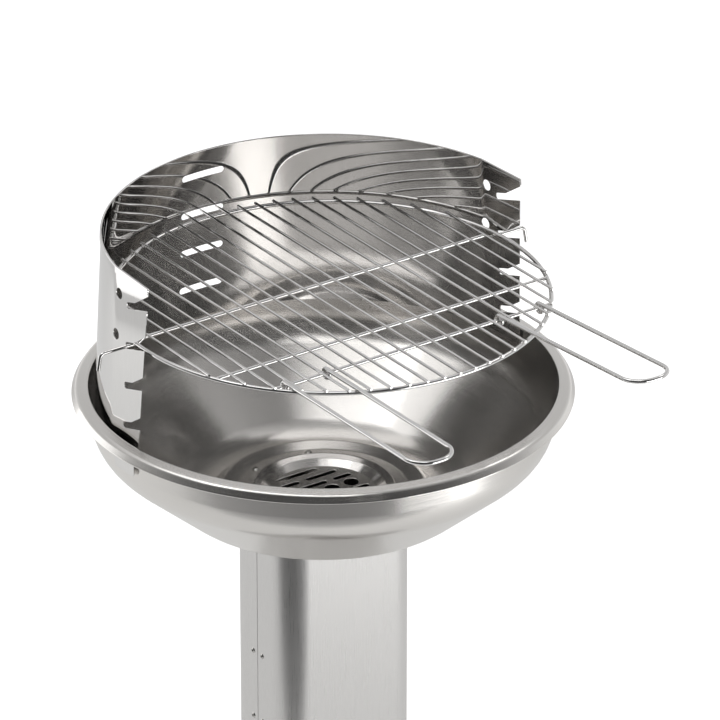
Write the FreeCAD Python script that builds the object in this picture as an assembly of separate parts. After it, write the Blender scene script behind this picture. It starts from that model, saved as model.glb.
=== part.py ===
import FreeCAD, Part
import math
import os

# Pedestal charcoal grill: a pressed steel bowl with a windshield and a hook-in cooking grate,
# on a two-shell column with an ash drawer, bolted down through a base plate.
# Millimetres. Z is up, the floor is z = 0 on the column's axis, and the cook stands at -Y.

V = FreeCAD.Vector
X_AXIS = V(1, 0, 0)
Y_AXIS = V(0, 1, 0)
Z_AXIS = V(0, 0, 1)

# Heights: everything on the bowl is measured from the lower edge of its rim skirt
RIM_Z = 744.0

# Cutters run this far past a wall on both sides, and those for aligned holes right across
CUT_PAST = 10.0
CUT_ACROSS = 300.0

# Bowl, pressed from one sheet
BOWL_T = 1.2
BOWL_HOLE_R = 74.0
BOWL_FLOOR_Z = -127.2
BOWL_FLAT_R = 99.0
BOWL_STEP_R = 118.0
BOWL_STEP_Z = -123.0
BOWL_VALLEY_Z = -138.3
BOWL_VALLEY_R = (130.5, 157.6)
BOWL_SHOULDER = (261.6, -49.4)
RIM_INNER = (265.2, 11.3)
RIM_CREST = (279.4, 9.4)
RIM_OUTER_R = 285.4
RIM_TURN_IN = (3.6, 0.6)
BOWL_BEND_RADII = [12.0, 7.0, 7.0, 58.0, 52.0, 2.6, 7.0, 1.3]

# Screws that hold the bowl to the head plate
SCREW_X = 36.5
SCREW_Y = 83.4
SCREW_R = 3.0
SCREW_HOLE_R = 3.3
HEAD_R = 4.9
HEAD_H = 2.6
DRIVE_R = 1.3
DRIVE_DEPTH = 1.3
BOWL_SCREW_L = 13.0
WASHER_R = 7.0
WASHER_T = 1.2
NUT_AF = 10.0
NUT_H = 5.0

# Vent collar and charcoal grate
COLLAR_T = 1.0
COLLAR_R = 85.0
COLLAR_BEAD_FOOT_R = 83.0
COLLAR_BEAD_TOP_R = (79.2, 81.6)
COLLAR_BEAD_H = 3.6
COLLAR_NECK_R = 72.0
COLLAR_NECK_H = 1.2
COLLAR_BEND_RADII = [1.6, 4.0, 1.6, 1.3, 0.2]
COLLAR_LEDGE_R = (53.0, 63.0)
COLLAR_LEDGE_Z = -132.0
DISC_R = 61.0
DISC_T = 2.5
DISC_GAP = 0.1
DISC_CHAMFER = 0.8
DISC_SLOT_W = 6.5
DISC_HOLE_R = 8.75
DISC_HOLES_X = (12.0, 38.5)
# rows of the disc: Y of the row, then the two ends in X of each slot
DISC_ROWS = (
    (49.0, ((-31.0, 24.0),)),
    (33.0, ((-37.0, -11.0), (-1.0, 40.0))),
    (17.0, ((-50.0, -29.0), (-20.0, 16.0), (26.0, 49.0))),
    (0.0, ((-52.0, -22.0),)),
    (-16.5, ((-50.0, -24.0), (-14.0, 19.0), (29.0, 51.0))),
    (-33.0, ((-40.0, 1.0), (11.0, 37.0))),
    (-49.0, ((-24.0, 31.0),)),
)

# Windshield: a slightly conical sheet, open to the front, with a flat flange at each end
SHIELD_T = 1.0
SHIELD_TOP_Z = 205.5
SHIELD_BOTTOM_Z = -10.0
SHIELD_CENTRE_Y = -10.8
SHIELD_R = 254.3
SHIELD_R_AT_Z = 172.0
SHIELD_CONE = 0.05
FLANGE_BEND_Y = 40.0
FLANGE_FRONT_Y = -29.5
FLANGE_SPLAY = 0.05
FLANGE_FRONT_SLANT = 0.055
HEM_H = 8.0
HEM_T = 1.0
HEM_BITE = 0.1
TAB_W = 39.0
TAB_Y = 1.0
TAB_DROP = 18.0
TAB_OUT = 267.8
TAB_ROOT_SIDE = -3.2
TAB_ROOT_BACK = 0.4
TAB_SLOT_GAP = 1.2
TAB_SLOT_UNDER = 0.2
TAB_SLOT_OVER = 1.4
TAB_SLOT_REACH = (256.0, 272.0)

# Grate levels: notches in the flanges and slots in the back, all at one pitch
LEVEL_PITCH = 48.2
LEVELS = 4
GRATE_LEVEL = 1
NOTCH_SLOPE_DEG = 18.0
NOTCH_H = 8.0
NOTCH_PARALLEL = 17.0
NOTCH_FLARE_DEG = 16.0
NOTCH_CORNER = 2.4
BACK_SLOT_W = 57.0
BACK_SLOT_H = 8.0
SPIT_HOLE_R = 6.5
SPIT_HOLES = ((32.5, 175.0), (37.0, 124.5))

# Cooking grate: welded wires, carried by the hanger rod in one pair of notches
WIRE_R = 1.6
WIRE_Z = 127.5
WIRE_COUNT = 23
WIRE_PITCH = 20.8
RING_R = 247.5
RING_WIRE_R = 2.5
RING_Y = -15.0
CROSS_R = 2.25
WELD = 0.3
ROD_Y = 12.8
CROSS_YS = (-118.9, -176.3)
WIRE_END = 1.2
CROSS_END_GAP = 0.5
BACK_WIRE_END_Y = 248.2
ROD_HALF = 288.5
ROD_DROP = 19.0
ROD_SPLAY = 3.5
ROD_BEND_R = 6.0
ROD_JOGGLE_X = (240.0, 232.0)
ROD_JOGGLE_R = 4.0

# Handles, each one bent wire with two eyes round the front cross wire
HANDLE_WIRE_R = 2.5
HANDLE_X = 144.3
HANDLE_HALF_W = 27.8
HANDLE_LENGTH = 252.0
HANDLE_LIFT_DEG = {"left": 0.4, "right": 3.8}
HANDLE_END_R = 24.8
EYE_GAP = 0.3
EYE_WRAP_DEG = 285.0

# Column of two equal shells
COL_W = 184.0
COL_D = 118.0
COL_CORNER = 34.0
COL_T = 1.2
COL_BOTTOM_Z = 8.0
COL_TOP_GAP = 1.5
SEAM_GAP = 0.6
STRIP_T = 1.5
STRIP_W = 32.0
RIVET_R = 2.0
RIVET_HEAD_R = 3.6
RIVET_HEAD_H = 1.4
RIVET_TAIL_R = 3.0
RIVET_TAIL_H = 1.0
RIVET_ROWS = (185.0, 270.0, 355.0, 440.0)
RIVET_Y = 9.0

# Head plate under the bowl
HEAD_PLATE_T = 3.0
HEAD_PLATE_R = 106.0
HEAD_PLATE_HOLE_R = 69.5
LUG_T = 2.5
LUG_H = 42.0
LUG_ROOT = 0.5
REAR_LUG_X = (42.0, 57.5)
LUG_SCREW_X = 50.0
LUG_SCREW_DROP = 26.0
LUG_SCREW_L = 8.0

# Base plate and foot socket
BASE_SIZE = 400.0
BASE_CORNER = 22.0
BASE_T = 8.0
BASE_CHAMFER = 1.2
ANCHOR_SPACING = 320.0
ANCHOR_R = 7.0
SOCKET_T = 3.0
SOCKET_TOP_Z = 60.0
SOCKET_GAP = 0.3
DRAIN_R = 5.0
DRAIN_X = 62.0
FOOT_SCREW_X = 40.0
FOOT_SCREW_Z = 34.0
FOOT_SCREW_L = 9.0

# Ash drawer in the foot of the column
OPEN_HALF_W = 51.0
OPEN_Z = (76.0, 150.0)
DRAWER_T = 1.0
DRAWER_HALF_W = 49.0
DRAWER_FRONT_Y = -57.0
DRAWER_BACK_Y = 50.0
DRAWER_Z = (81.0, 141.0)
FRONT_T = 1.5
FRONT_GAP = 0.6
FRONT_HALF_W = 57.0
FRONT_Z = (71.0, 155.0)
FRONT_CORNER = 5.0
BOW_WIRE_R = 3.0
BOW_HALF_W = 32.0
BOW_REACH = 26.0
BOW_Z = 113.0
BOW_BEND_R = 9.0
BOW_SCREW_R = 2.0
BOW_SCREW_HEAD = (4.0, 2.0)
BOW_SCREW_END_GAP = 3.0
BOW_HOLE_R = 2.2
BOW_TAP = 12.0
RUNNER_T = 1.5
RUNNER_GAP_UNDER = 0.2
RUNNER_GAP_SIDE = 0.8
RUNNER_FLANGE = 14.0
RUNNER_H = 22.0
RUNNER_TAB = 7.8
HOPPER_TOP_Z = 206.0
HOPPER_RIM_Z = 192.0
HOPPER_MOUTH_Z = 146.0
HOPPER_MOUTH = (43.0, 44.0)
HOPPER_T = 1.0
HOPPER_GAP = 0.2
HOPPER_CORNER = 31.0
HOPPER_MOUTH_CORNER = 8.0
VENT_SLOTS_Z = (92.0, 106.0, 120.0, 134.0)
VENT_SLOT_L = 70.0
VENT_SLOT_W = 6.0


def lift(shape):
    """The bowl's parts are drawn from the rim skirt's lower edge, and lifted to their height."""
    moved = shape.copy()
    moved.translate(V(0, 0, RIM_Z))
    return moved


def box(x0, x1, y0, y1, z0, z1):
    return Part.makeBox(x1 - x0, y1 - y0, z1 - z0, V(x0, y0, z0))


def cyl(radius, start, end):
    direction = end.sub(start)
    return Part.makeCylinder(radius, direction.Length, start, direction)


def filleted(points, radii):
    """Edges of an open path through the corner points, with an arc at each inner corner."""
    edges = []
    last = points[0]
    for i in range(1, len(points) - 1):
        corner = points[i]
        back = points[i - 1].sub(corner).normalize()
        ahead = points[i + 1].sub(corner).normalize()
        half = back.getAngle(ahead) / 2
        radius = radii[i - 1]
        reach = radius / math.tan(half)
        start = corner.add(V(back).multiply(reach))
        end = corner.add(V(ahead).multiply(reach))
        middle_dir = back.add(ahead).normalize()
        middle = corner.add(V(middle_dir).multiply(radius / math.sin(half) - radius))
        if start.distanceToPoint(last) > 1e-6:
            edges.append(Part.LineSegment(last, start).toShape())
        edges.append(Part.Arc(start, middle, end).toShape())
        last = end
    edges.append(Part.LineSegment(last, points[-1]).toShape())
    return edges


def sheet_of_revolution(profile, radii, thickness):
    """Turn a sheet about Z: profile is its upper face as (R, z), the sheet lies below it."""
    lower = []
    lower_radii = []
    normals = []
    for (r0, z0), (r1, z1) in zip(profile, profile[1:]):
        length = math.hypot(r1 - r0, z1 - z0)
        normals.append(((z1 - z0) / length, -(r1 - r0) / length))
    for i, (r, z) in enumerate(profile):
        before = normals[max(i - 1, 0)]
        after = normals[min(i, len(normals) - 1)]
        scale = thickness / (1 + before[0] * after[0] + before[1] * after[1])
        lower.append((r + (before[0] + after[0]) * scale, z + (before[1] + after[1]) * scale))
    for i, radius in enumerate(radii):
        turn = normals[i][0] * normals[i + 1][1] - normals[i][1] * normals[i + 1][0]
        lower_radii.append(radius + thickness if turn > 0 else radius - thickness)
    upper_edges = filleted([V(r, 0, z) for r, z in profile], radii)
    lower_edges = filleted([V(r, 0, z) for r, z in lower], lower_radii)
    ends = []
    for k in (0, -1):
        a = V(profile[k][0], 0, profile[k][1])
        b = V(lower[k][0], 0, lower[k][1])
        ends.append(Part.LineSegment(a, b).toShape())
    wire = Part.Wire(Part.__sortEdges__(upper_edges + lower_edges + ends))
    return Part.Face(wire).revolve(V(0, 0, 0), Z_AXIS, 360)


def pipe(points, radii, wire_r):
    """A round wire along straight runs and tangent arcs."""
    path = Part.Wire(filleted(points, radii))
    start = points[0]
    direction = points[1].sub(start)
    circle = Part.Wire([Part.makeCircle(wire_r, start, direction)])
    return path.makePipeShell([circle], True, True)


def rounded_rect(half_x, half_y, radius, z):
    """Closed wire of a rounded rectangle about the Z axis, from the middle of its right side."""
    p = []
    for sx, sy in ((1, 1), (-1, 1), (-1, -1), (1, -1)):
        cx = sx * (half_x - radius)
        cy = sy * (half_y - radius)
        on_x = V(sx * half_x, cy, z)
        on_y = V(cx, sy * half_y, z)
        mid = V(cx + sx * radius * math.sqrt(0.5), cy + sy * radius * math.sqrt(0.5), z)
        p.append((on_x, mid, on_y) if sx * sy > 0 else (on_y, mid, on_x))
    edges = []
    for i, (start, mid, end) in enumerate(p):
        edges.append(Part.Arc(start, mid, end).toShape())
        edges.append(Part.LineSegment(end, p[(i + 1) % 4][0]).toShape())
    return Part.Wire(edges)


def rounded_block(half_x, half_y, radius, z0, z1):
    return Part.Face(rounded_rect(half_x, half_y, radius, z0)).extrude(V(0, 0, z1 - z0))


def slot_block(x0, x1, y, width, z0, z1):
    """A round-ended slot cutter along X."""
    r = width / 2
    block = box(x0 + r, x1 - r, y - r, y + r, z0, z1)
    for x in (x0 + r, x1 - r):
        block = block.fuse(cyl(r, V(x, y, z0), V(x, y, z1)))
    return block.removeSplitter()


def screw(at, direction, length, radius=SCREW_R, head_r=HEAD_R, head_h=HEAD_H):
    """A dome-headed screw: at is the seat of its head, and the shank runs along direction."""
    d = V(direction).normalize()
    shank = Part.makeCylinder(radius, length, at, d)
    dome_r = (head_r ** 2 + head_h ** 2) / (2 * head_h)
    ball = Part.makeSphere(dome_r, at.add(V(d).multiply(dome_r - head_h)))
    above_seat = Part.makeCylinder(dome_r, head_h, at.sub(V(d).multiply(head_h)), d)
    head = ball.common(above_seat)
    top = at.sub(V(d).multiply(head_h))
    socket = Part.makeCylinder(DRIVE_R, DRIVE_DEPTH, top, d)
    return shank.fuse(head).cut(socket).removeSplitter()


def washer(at, direction, inner_r, outer_r=WASHER_R, thickness=WASHER_T):
    return Part.makeCylinder(outer_r, thickness, at, direction).cut(
        Part.makeCylinder(inner_r, thickness, at, direction))


def hex_nut(at, inner_r, across=NUT_AF, height=NUT_H):
    """A nut about Z, growing downwards from at."""
    corner = across / math.sqrt(3)
    ring = [V(at.x + corner * math.cos(math.radians(60 * k)),
              at.y + corner * math.sin(math.radians(60 * k)), at.z) for k in range(7)]
    body = Part.Face(Part.makePolygon(ring)).extrude(V(0, 0, -height))
    return body.cut(cyl(inner_r, at, at.sub(V(0, 0, height))))


def bowl_screw_points():
    return [(sx * SCREW_X, sy * SCREW_Y) for sx in (-1, 1) for sy in (-1, 1)]


def shield_radius(z):
    return SHIELD_R + SHIELD_CONE * (SHIELD_R_AT_Z - z)


def shield_wire(z, inner, outer):
    """Closed outline of the sheet at height z, between two offsets outside its inner face."""
    lines = []
    for offset in (inner, outer):
        r = shield_radius(z) + offset
        dy = FLANGE_BEND_Y - SHIELD_CENTRE_Y
        x_bend = math.sqrt(r * r - dy * dy)
        y_front = FLANGE_FRONT_Y + FLANGE_FRONT_SLANT * (SHIELD_TOP_Z - z)
        x_front = x_bend + FLANGE_SPLAY * (FLANGE_BEND_Y - y_front)
        lines.append((x_front, y_front, x_bend, r))
    edges = []
    for x_front, y_front, x_bend, r in lines:
        left_bend = V(-x_bend, FLANGE_BEND_Y, z)
        right_bend = V(x_bend, FLANGE_BEND_Y, z)
        edges.append(Part.LineSegment(V(-x_front, y_front, z), left_bend).toShape())
        edges.append(Part.Arc(left_bend, V(0, SHIELD_CENTRE_Y + r, z), right_bend).toShape())
        edges.append(Part.LineSegment(right_bend, V(x_front, y_front, z)).toShape())
    for sx in (-1, 1):
        a = V(sx * lines[0][0], lines[0][1], z)
        b = V(sx * lines[1][0], lines[1][1], z)
        edges.append(Part.LineSegment(a, b).toShape())
    return Part.Wire(Part.__sortEdges__(edges))


def rod_level_z(level):
    """Height of the hanger rod's ends at a level, level 0 being the highest."""
    ring_z = WIRE_Z - WIRE_R - RING_WIRE_R + WELD
    at_grate = ring_z - RING_WIRE_R - CROSS_R + WELD
    return at_grate + (GRATE_LEVEL - level) * LEVEL_PITCH


def notch_block(level):
    """The open notch of one level, cut through both flanges along X."""
    slope = math.radians(NOTCH_SLOPE_DEG)
    flare = math.radians(NOTCH_SLOPE_DEG + NOTCH_FLARE_DEG)
    y_in = ROD_Y + CROSS_R + EYE_GAP
    y_out = FLANGE_FRONT_Y - 2.5 * CUT_PAST
    under_rod = (CROSS_R + EYE_GAP) / math.cos(slope)
    low = rod_level_z(level) - under_rod - (y_in - ROD_Y) * math.tan(slope)
    high = low + NOTCH_H
    y_par = y_in - NOTCH_PARALLEL
    high_par = high + NOTCH_PARALLEL * math.tan(slope)
    outline = [(y_in, low), (y_out, low + (y_in - y_out) * math.tan(slope)),
               (y_out, high_par + (y_par - y_out) * math.tan(flare)),
               (y_par, high_par), (y_in, high), (y_in, low)]
    face = Part.Face(Part.makePolygon([V(-CUT_ACROSS, y, z) for y, z in outline]))
    prism = face.extrude(V(2 * CUT_ACROSS, 0, 0))
    inner = [e for e in prism.Edges if all(abs(v.Y - y_in) < 1e-6 for v in e.Vertexes)]
    corners = [e for e in inner if abs(e.Vertexes[0].Z - e.Vertexes[1].Z) < 1e-6]
    return prism.makeFillet(NOTCH_CORNER, corners)


def make_bowl():
    profile = [(BOWL_HOLE_R, BOWL_FLOOR_Z), (BOWL_FLAT_R, BOWL_FLOOR_Z), (BOWL_STEP_R, BOWL_STEP_Z),
               (BOWL_VALLEY_R[0], BOWL_VALLEY_Z), (BOWL_VALLEY_R[1], BOWL_VALLEY_Z),
               BOWL_SHOULDER, RIM_INNER, RIM_CREST, (RIM_OUTER_R, 0.0),
               (RIM_OUTER_R - RIM_TURN_IN[0], -RIM_TURN_IN[1])]
    bowl = sheet_of_revolution(profile, BOWL_BEND_RADII, BOWL_T)
    for x, y in bowl_screw_points():
        above = V(x, y, BOWL_FLOOR_Z + CUT_PAST)
        bowl = bowl.cut(cyl(SCREW_HOLE_R, V(x, y, BOWL_FLOOR_Z - CUT_PAST), above))
    z0 = SHIELD_BOTTOM_Z - TAB_SLOT_UNDER
    z1 = SHIELD_BOTTOM_Z + SHIELD_T + TAB_SLOT_OVER
    half = TAB_W / 2 + TAB_SLOT_GAP
    near, far = TAB_SLOT_REACH
    for x0, x1 in ((-far, -near), (near, far)):
        bowl = bowl.cut(box(x0, x1, TAB_Y - half, TAB_Y + half, z0, z1))
    bowl = bowl.cut(box(-half, half, near, far, z0, z1))
    return lift(bowl)


def shield_band(z0, z1, inner, outer):
    return Part.makeLoft([shield_wire(z0, inner, outer), shield_wire(z1, inner, outer)], True, True)


def wall_slot(length, width, y0, y1, z):
    """A lying slot cutter along X that goes through a wall between y0 and y1."""
    slot = slot_block(-length / 2, length / 2, 0, width, 0, y1 - y0)
    slot.rotate(V(0, 0, 0), X_AXIS, -90)
    slot.translate(V(0, y0, z))
    return slot


def whole_windshield():
    sheet = shield_band(SHIELD_BOTTOM_Z, SHIELD_TOP_Z, 0.0, SHIELD_T)
    hem = shield_band(SHIELD_TOP_Z - HEM_H, SHIELD_TOP_Z, SHIELD_T - HEM_BITE, SHIELD_T + HEM_T)
    sheet = sheet.fuse(hem)
    for level in range(LEVELS):
        sheet = sheet.cut(notch_block(level))
        sheet = sheet.cut(wall_slot(BACK_SLOT_W, BACK_SLOT_H, SHIELD_R / 2, CUT_ACROSS, back_slot_z(level)))
    for y, z in SPIT_HOLES:
        sheet = sheet.cut(cyl(SPIT_HOLE_R, V(-CUT_ACROSS, y, z), V(CUT_ACROSS, y, z)))
    z0 = SHIELD_BOTTOM_Z
    z1 = z0 + SHIELD_T
    y0 = TAB_Y - TAB_W / 2
    y1 = TAB_Y + TAB_W / 2
    x_in = shield_radius(z0) + TAB_ROOT_SIDE
    for sx in (-1, 1):
        xs = sorted((sx * x_in, sx * TAB_OUT))
        legs = sorted((sx * (TAB_OUT - SHIELD_T), sx * TAB_OUT))
        tab = box(xs[0], xs[1], y0, y1, z0, z1).fuse(box(legs[0], legs[1], y0, y1, z0 - TAB_DROP, z1))
        sheet = sheet.fuse(tab)
    back_in = SHIELD_CENTRE_Y + shield_radius(z0) + TAB_ROOT_BACK
    half = TAB_W / 2
    back_tab = box(-half, half, back_in, TAB_OUT, z0, z1)
    back_tab = back_tab.fuse(box(-half, half, TAB_OUT - SHIELD_T, TAB_OUT, z0 - TAB_DROP, z1))
    return lift(sheet.fuse(back_tab).removeSplitter())


def windshield_stretch(x0, x1, y0, y1):
    """The part of the sheet between two bend lines."""
    z0 = RIM_Z + SHIELD_BOTTOM_Z - TAB_DROP - CUT_PAST
    z1 = RIM_Z + SHIELD_TOP_Z + CUT_PAST
    return whole_windshield().common(box(x0, x1, y0, y1, z0, z1))


def make_windshield_back():
    return windshield_stretch(-CUT_ACROSS, CUT_ACROSS, FLANGE_BEND_Y, CUT_ACROSS)


def make_windshield_side_left():
    return windshield_stretch(-CUT_ACROSS, 0, -CUT_ACROSS, FLANGE_BEND_Y)


def make_windshield_side_right():
    return windshield_stretch(0, CUT_ACROSS, -CUT_ACROSS, FLANGE_BEND_Y)


def back_slot_z(level):
    """Middle of a back slot: its top edge lies just over the grate's three long wires."""
    return WIRE_Z + 2 * WIRE_R - BACK_SLOT_H / 2 + (GRATE_LEVEL - level) * LEVEL_PITCH


def make_collar():
    floor = BOWL_FLOOR_Z + COLLAR_T
    bead_z = floor + COLLAR_BEAD_H
    profile = [(COLLAR_LEDGE_R[0], COLLAR_LEDGE_Z), (COLLAR_LEDGE_R[1], COLLAR_LEDGE_Z),
               (COLLAR_NECK_R, floor + COLLAR_NECK_H), (COLLAR_BEAD_TOP_R[0], bead_z),
               (COLLAR_BEAD_TOP_R[1], bead_z), (COLLAR_BEAD_FOOT_R, floor), (COLLAR_R, floor)]
    return lift(sheet_of_revolution(profile, COLLAR_BEND_RADII, COLLAR_T))


def make_charcoal_grate():
    z0 = COLLAR_LEDGE_Z + DISC_GAP
    z1 = z0 + DISC_T
    disc = cyl(DISC_R, V(0, 0, z0), V(0, 0, z1))
    rim = [e for e in disc.Edges if abs(e.BoundBox.ZMin - z1) < 1e-6 and abs(e.BoundBox.ZMax - z1) < 1e-6]
    disc = disc.makeChamfer(DISC_CHAMFER, rim)
    for y, spans in DISC_ROWS:
        for x0, x1 in spans:
            disc = disc.cut(slot_block(x0, x1, y, DISC_SLOT_W, z0 - 1, z1 + 1))
    for x in DISC_HOLES_X:
        disc = disc.cut(cyl(DISC_HOLE_R, V(x, 0, z0 - 1), V(x, 0, z1 + 1)))
    return lift(disc)


def make_ring():
    ring_z = WIRE_Z - WIRE_R - RING_WIRE_R + WELD
    return lift(Part.makeTorus(RING_R, RING_WIRE_R, V(0, RING_Y, ring_z)))


def make_bars():
    bars = []
    middle = (WIRE_COUNT - 1) // 2
    for i in range(WIRE_COUNT):
        x = (i - middle) * WIRE_PITCH
        half = math.sqrt(RING_R ** 2 - x ** 2) + RING_WIRE_R + WIRE_END
        front = RING_Y - half
        back = RING_Y + half
        if abs(i - middle) <= 1:
            back = BACK_WIRE_END_Y
        bars.append(cyl(WIRE_R, V(x, front, WIRE_Z), V(x, back, WIRE_Z)))
    return lift(Part.makeCompound(bars))


def cross_z():
    return WIRE_Z - WIRE_R - CROSS_R + WELD


def make_cross_wires():
    wires = []
    for y in CROSS_YS:
        half = math.sqrt(RING_R ** 2 - (y - RING_Y) ** 2) - CROSS_END_GAP
        wires.append(cyl(CROSS_R, V(-half, y, cross_z()), V(half, y, cross_z())))
    return lift(Part.makeCompound(wires))


def make_hanger_rod():
    z_in = cross_z()
    z_out = rod_level_z(GRATE_LEVEL)
    bends = []
    for sx in (-1, 1):
        side = [V(sx * (ROD_HALF + ROD_SPLAY), ROD_Y, z_out - ROD_DROP), V(sx * ROD_HALF, ROD_Y, z_out),
                V(sx * ROD_JOGGLE_X[0], ROD_Y, z_out), V(sx * ROD_JOGGLE_X[1], ROD_Y, z_in)]
        bends.append(side)
    points = bends[0] + bends[1][::-1]
    radii = [ROD_BEND_R] + [ROD_JOGGLE_R] * 4 + [ROD_BEND_R]
    return lift(pipe(points, radii, CROSS_R))


def make_handle(side):
    """A bent wire: two eyes round the front cross wire, two arms over the ring and a round end."""
    sign = -1 if side == "left" else 1
    eye_r = CROSS_R + EYE_GAP + HANDLE_WIRE_R
    axis = V(0, CROSS_YS[-1], cross_z())
    arm_z = axis.z + eye_r
    end_y = axis.y - HANDLE_LENGTH
    xs = [sign * HANDLE_X + sx * HANDLE_HALF_W for sx in (-1, 1)]
    points = [V(xs[0], axis.y, arm_z), V(xs[0], end_y, arm_z), V(xs[1], end_y, arm_z), V(xs[1], axis.y, arm_z)]
    body = pipe(points, [HANDLE_END_R, HANDLE_END_R], HANDLE_WIRE_R)
    for x in xs:
        circle = Part.Face(Part.Wire([Part.makeCircle(HANDLE_WIRE_R, V(x, axis.y, arm_z), Y_AXIS)]))
        eye = circle.revolve(V(x, axis.y, axis.z), X_AXIS, -EYE_WRAP_DEG)
        body = body.fuse(eye)
    body = body.removeSplitter()
    body.rotate(axis, X_AXIS, -HANDLE_LIFT_DEG[side])
    return lift(body)


def half_shell(sign):
    """One U-shaped shell of the column, front for sign -1 and rear for sign +1."""
    z1 = RIM_Z + COLLAR_LEDGE_Z - COLLAR_T - COL_TOP_GAP
    outer = rounded_block(COL_W / 2, COL_D / 2, COL_CORNER, COL_BOTTOM_Z, z1)
    inner = rounded_block(COL_W / 2 - COL_T, COL_D / 2 - COL_T, COL_CORNER - COL_T, COL_BOTTOM_Z, z1)
    ring = outer.cut(inner)
    if sign < 0:
        keep = box(-COL_W, COL_W, -COL_D, -SEAM_GAP / 2, 0, RIM_Z)
    else:
        keep = box(-COL_W, COL_W, SEAM_GAP / 2, COL_D, 0, RIM_Z)
    return ring.common(keep)


def rivet_points():
    top = RIM_Z + BOWL_FLOOR_Z
    return [(sx, sy * RIVET_Y, top - drop) for sx in (-1, 1) for sy in (-1, 1) for drop in RIVET_ROWS]


def cut_rivet_holes(shape):
    wall = COL_W / 2
    for sx, y, z in rivet_points():
        shape = shape.cut(cyl(RIVET_R, V(sx * (wall - CUT_PAST), y, z), V(sx * (wall + CUT_PAST), y, z)))
    return shape


def cut_wall_holes(shape, sign, xs, z, radius):
    """Round holes through the front (sign -1) or rear (+1) wall of the column."""
    wall = sign * COL_D / 2
    for x in xs:
        shape = shape.cut(cyl(radius, V(x, wall - CUT_PAST, z), V(x, wall + CUT_PAST, z)))
    return shape


def make_front_shell():
    shell = cut_rivet_holes(half_shell(-1))
    front = -COL_D / 2
    opening = box(-OPEN_HALF_W, OPEN_HALF_W, front - CUT_PAST, front + CUT_PAST, OPEN_Z[0], OPEN_Z[1])
    shell = shell.cut(opening)
    return cut_wall_holes(shell, -1, (-FOOT_SCREW_X, FOOT_SCREW_X), FOOT_SCREW_Z, SCREW_HOLE_R)


def lug_screw_z():
    return head_plate_under_z() - LUG_SCREW_DROP


def make_rear_shell():
    shell = cut_rivet_holes(half_shell(1))
    shell = cut_wall_holes(shell, 1, (-FOOT_SCREW_X, FOOT_SCREW_X), FOOT_SCREW_Z, SCREW_HOLE_R)
    shell = cut_wall_holes(shell, 1, (-LUG_SCREW_X, LUG_SCREW_X), lug_screw_z(), SCREW_HOLE_R)
    rear = COL_D / 2
    for z in VENT_SLOTS_Z:
        shell = shell.cut(wall_slot(VENT_SLOT_L, VENT_SLOT_W, rear - CUT_PAST, rear + CUT_PAST, z))
    return shell


def make_seam_strips():
    x0 = COL_W / 2 - COL_T - STRIP_T
    x1 = COL_W / 2 - COL_T
    z0 = SOCKET_TOP_Z + 1
    z1 = head_plate_under_z()
    strips = []
    for sx in (-1, 1):
        xs = sorted((sx * x0, sx * x1))
        strips.append(cut_rivet_holes(box(xs[0], xs[1], -STRIP_W / 2, STRIP_W / 2, z0, z1)))
    return Part.makeCompound(strips)


def make_seam_rivets():
    rivets = []
    outside = COL_W / 2
    inside = COL_W / 2 - COL_T - STRIP_T
    for sx, y, z in rivet_points():
        direction = V(-sx, 0, 0)
        seat = V(sx * outside, y, z)
        pin = screw(seat, direction, outside - inside, RIVET_R, RIVET_HEAD_R, RIVET_HEAD_H)
        tail = Part.makeCylinder(RIVET_TAIL_R, RIVET_TAIL_H, V(sx * inside, y, z), direction)
        rivets.append(pin.fuse(tail).removeSplitter())
    return Part.makeCompound(rivets)


def head_plate_under_z():
    return RIM_Z + BOWL_FLOOR_Z - BOWL_T - HEAD_PLATE_T


def make_head_plate():
    """Ring plate under the bowl, with lugs turned down inside the column's sides and back."""
    z0 = head_plate_under_z()
    z1 = z0 + HEAD_PLATE_T
    plate = cyl(HEAD_PLATE_R, V(0, 0, z0), V(0, 0, z1))
    inner_y = COL_D / 2 - COL_T
    inner_x = COL_W / 2 - COL_T - STRIP_T
    for sx in (-1, 1):
        rear = sorted((sx * REAR_LUG_X[0], sx * REAR_LUG_X[1]))
        side = sorted((sx * (inner_x - LUG_T), sx * inner_x))
        lug_z = (z0 - LUG_H, z0 + LUG_ROOT)
        plate = plate.fuse(box(rear[0], rear[1], inner_y - LUG_T, inner_y, lug_z[0], lug_z[1]))
        plate = plate.fuse(box(side[0], side[1], -STRIP_W / 2, STRIP_W / 2, lug_z[0], lug_z[1]))
    plate = cut_wall_holes(plate, 1, (-LUG_SCREW_X, LUG_SCREW_X), lug_screw_z(), SCREW_R)
    plate = plate.cut(cyl(HEAD_PLATE_HOLE_R, V(0, 0, z0 - 1), V(0, 0, z1 + 1)))
    for x, y in bowl_screw_points():
        plate = plate.cut(cyl(SCREW_HOLE_R, V(x, y, z0 - 1), V(x, y, z1 + 1)))
    return plate.removeSplitter()


def make_bowl_screws():
    seat = RIM_Z + BOWL_FLOOR_Z
    down = V(0, 0, -1)
    return Part.makeCompound([screw(V(x, y, seat), down, BOWL_SCREW_L) for x, y in bowl_screw_points()])


def make_bowl_washers():
    z = head_plate_under_z() - WASHER_T
    return Part.makeCompound([washer(V(x, y, z), Z_AXIS, SCREW_HOLE_R) for x, y in bowl_screw_points()])


def make_bowl_nuts():
    z = head_plate_under_z() - WASHER_T
    return Part.makeCompound([hex_nut(V(x, y, z), SCREW_R) for x, y in bowl_screw_points()])


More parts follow.
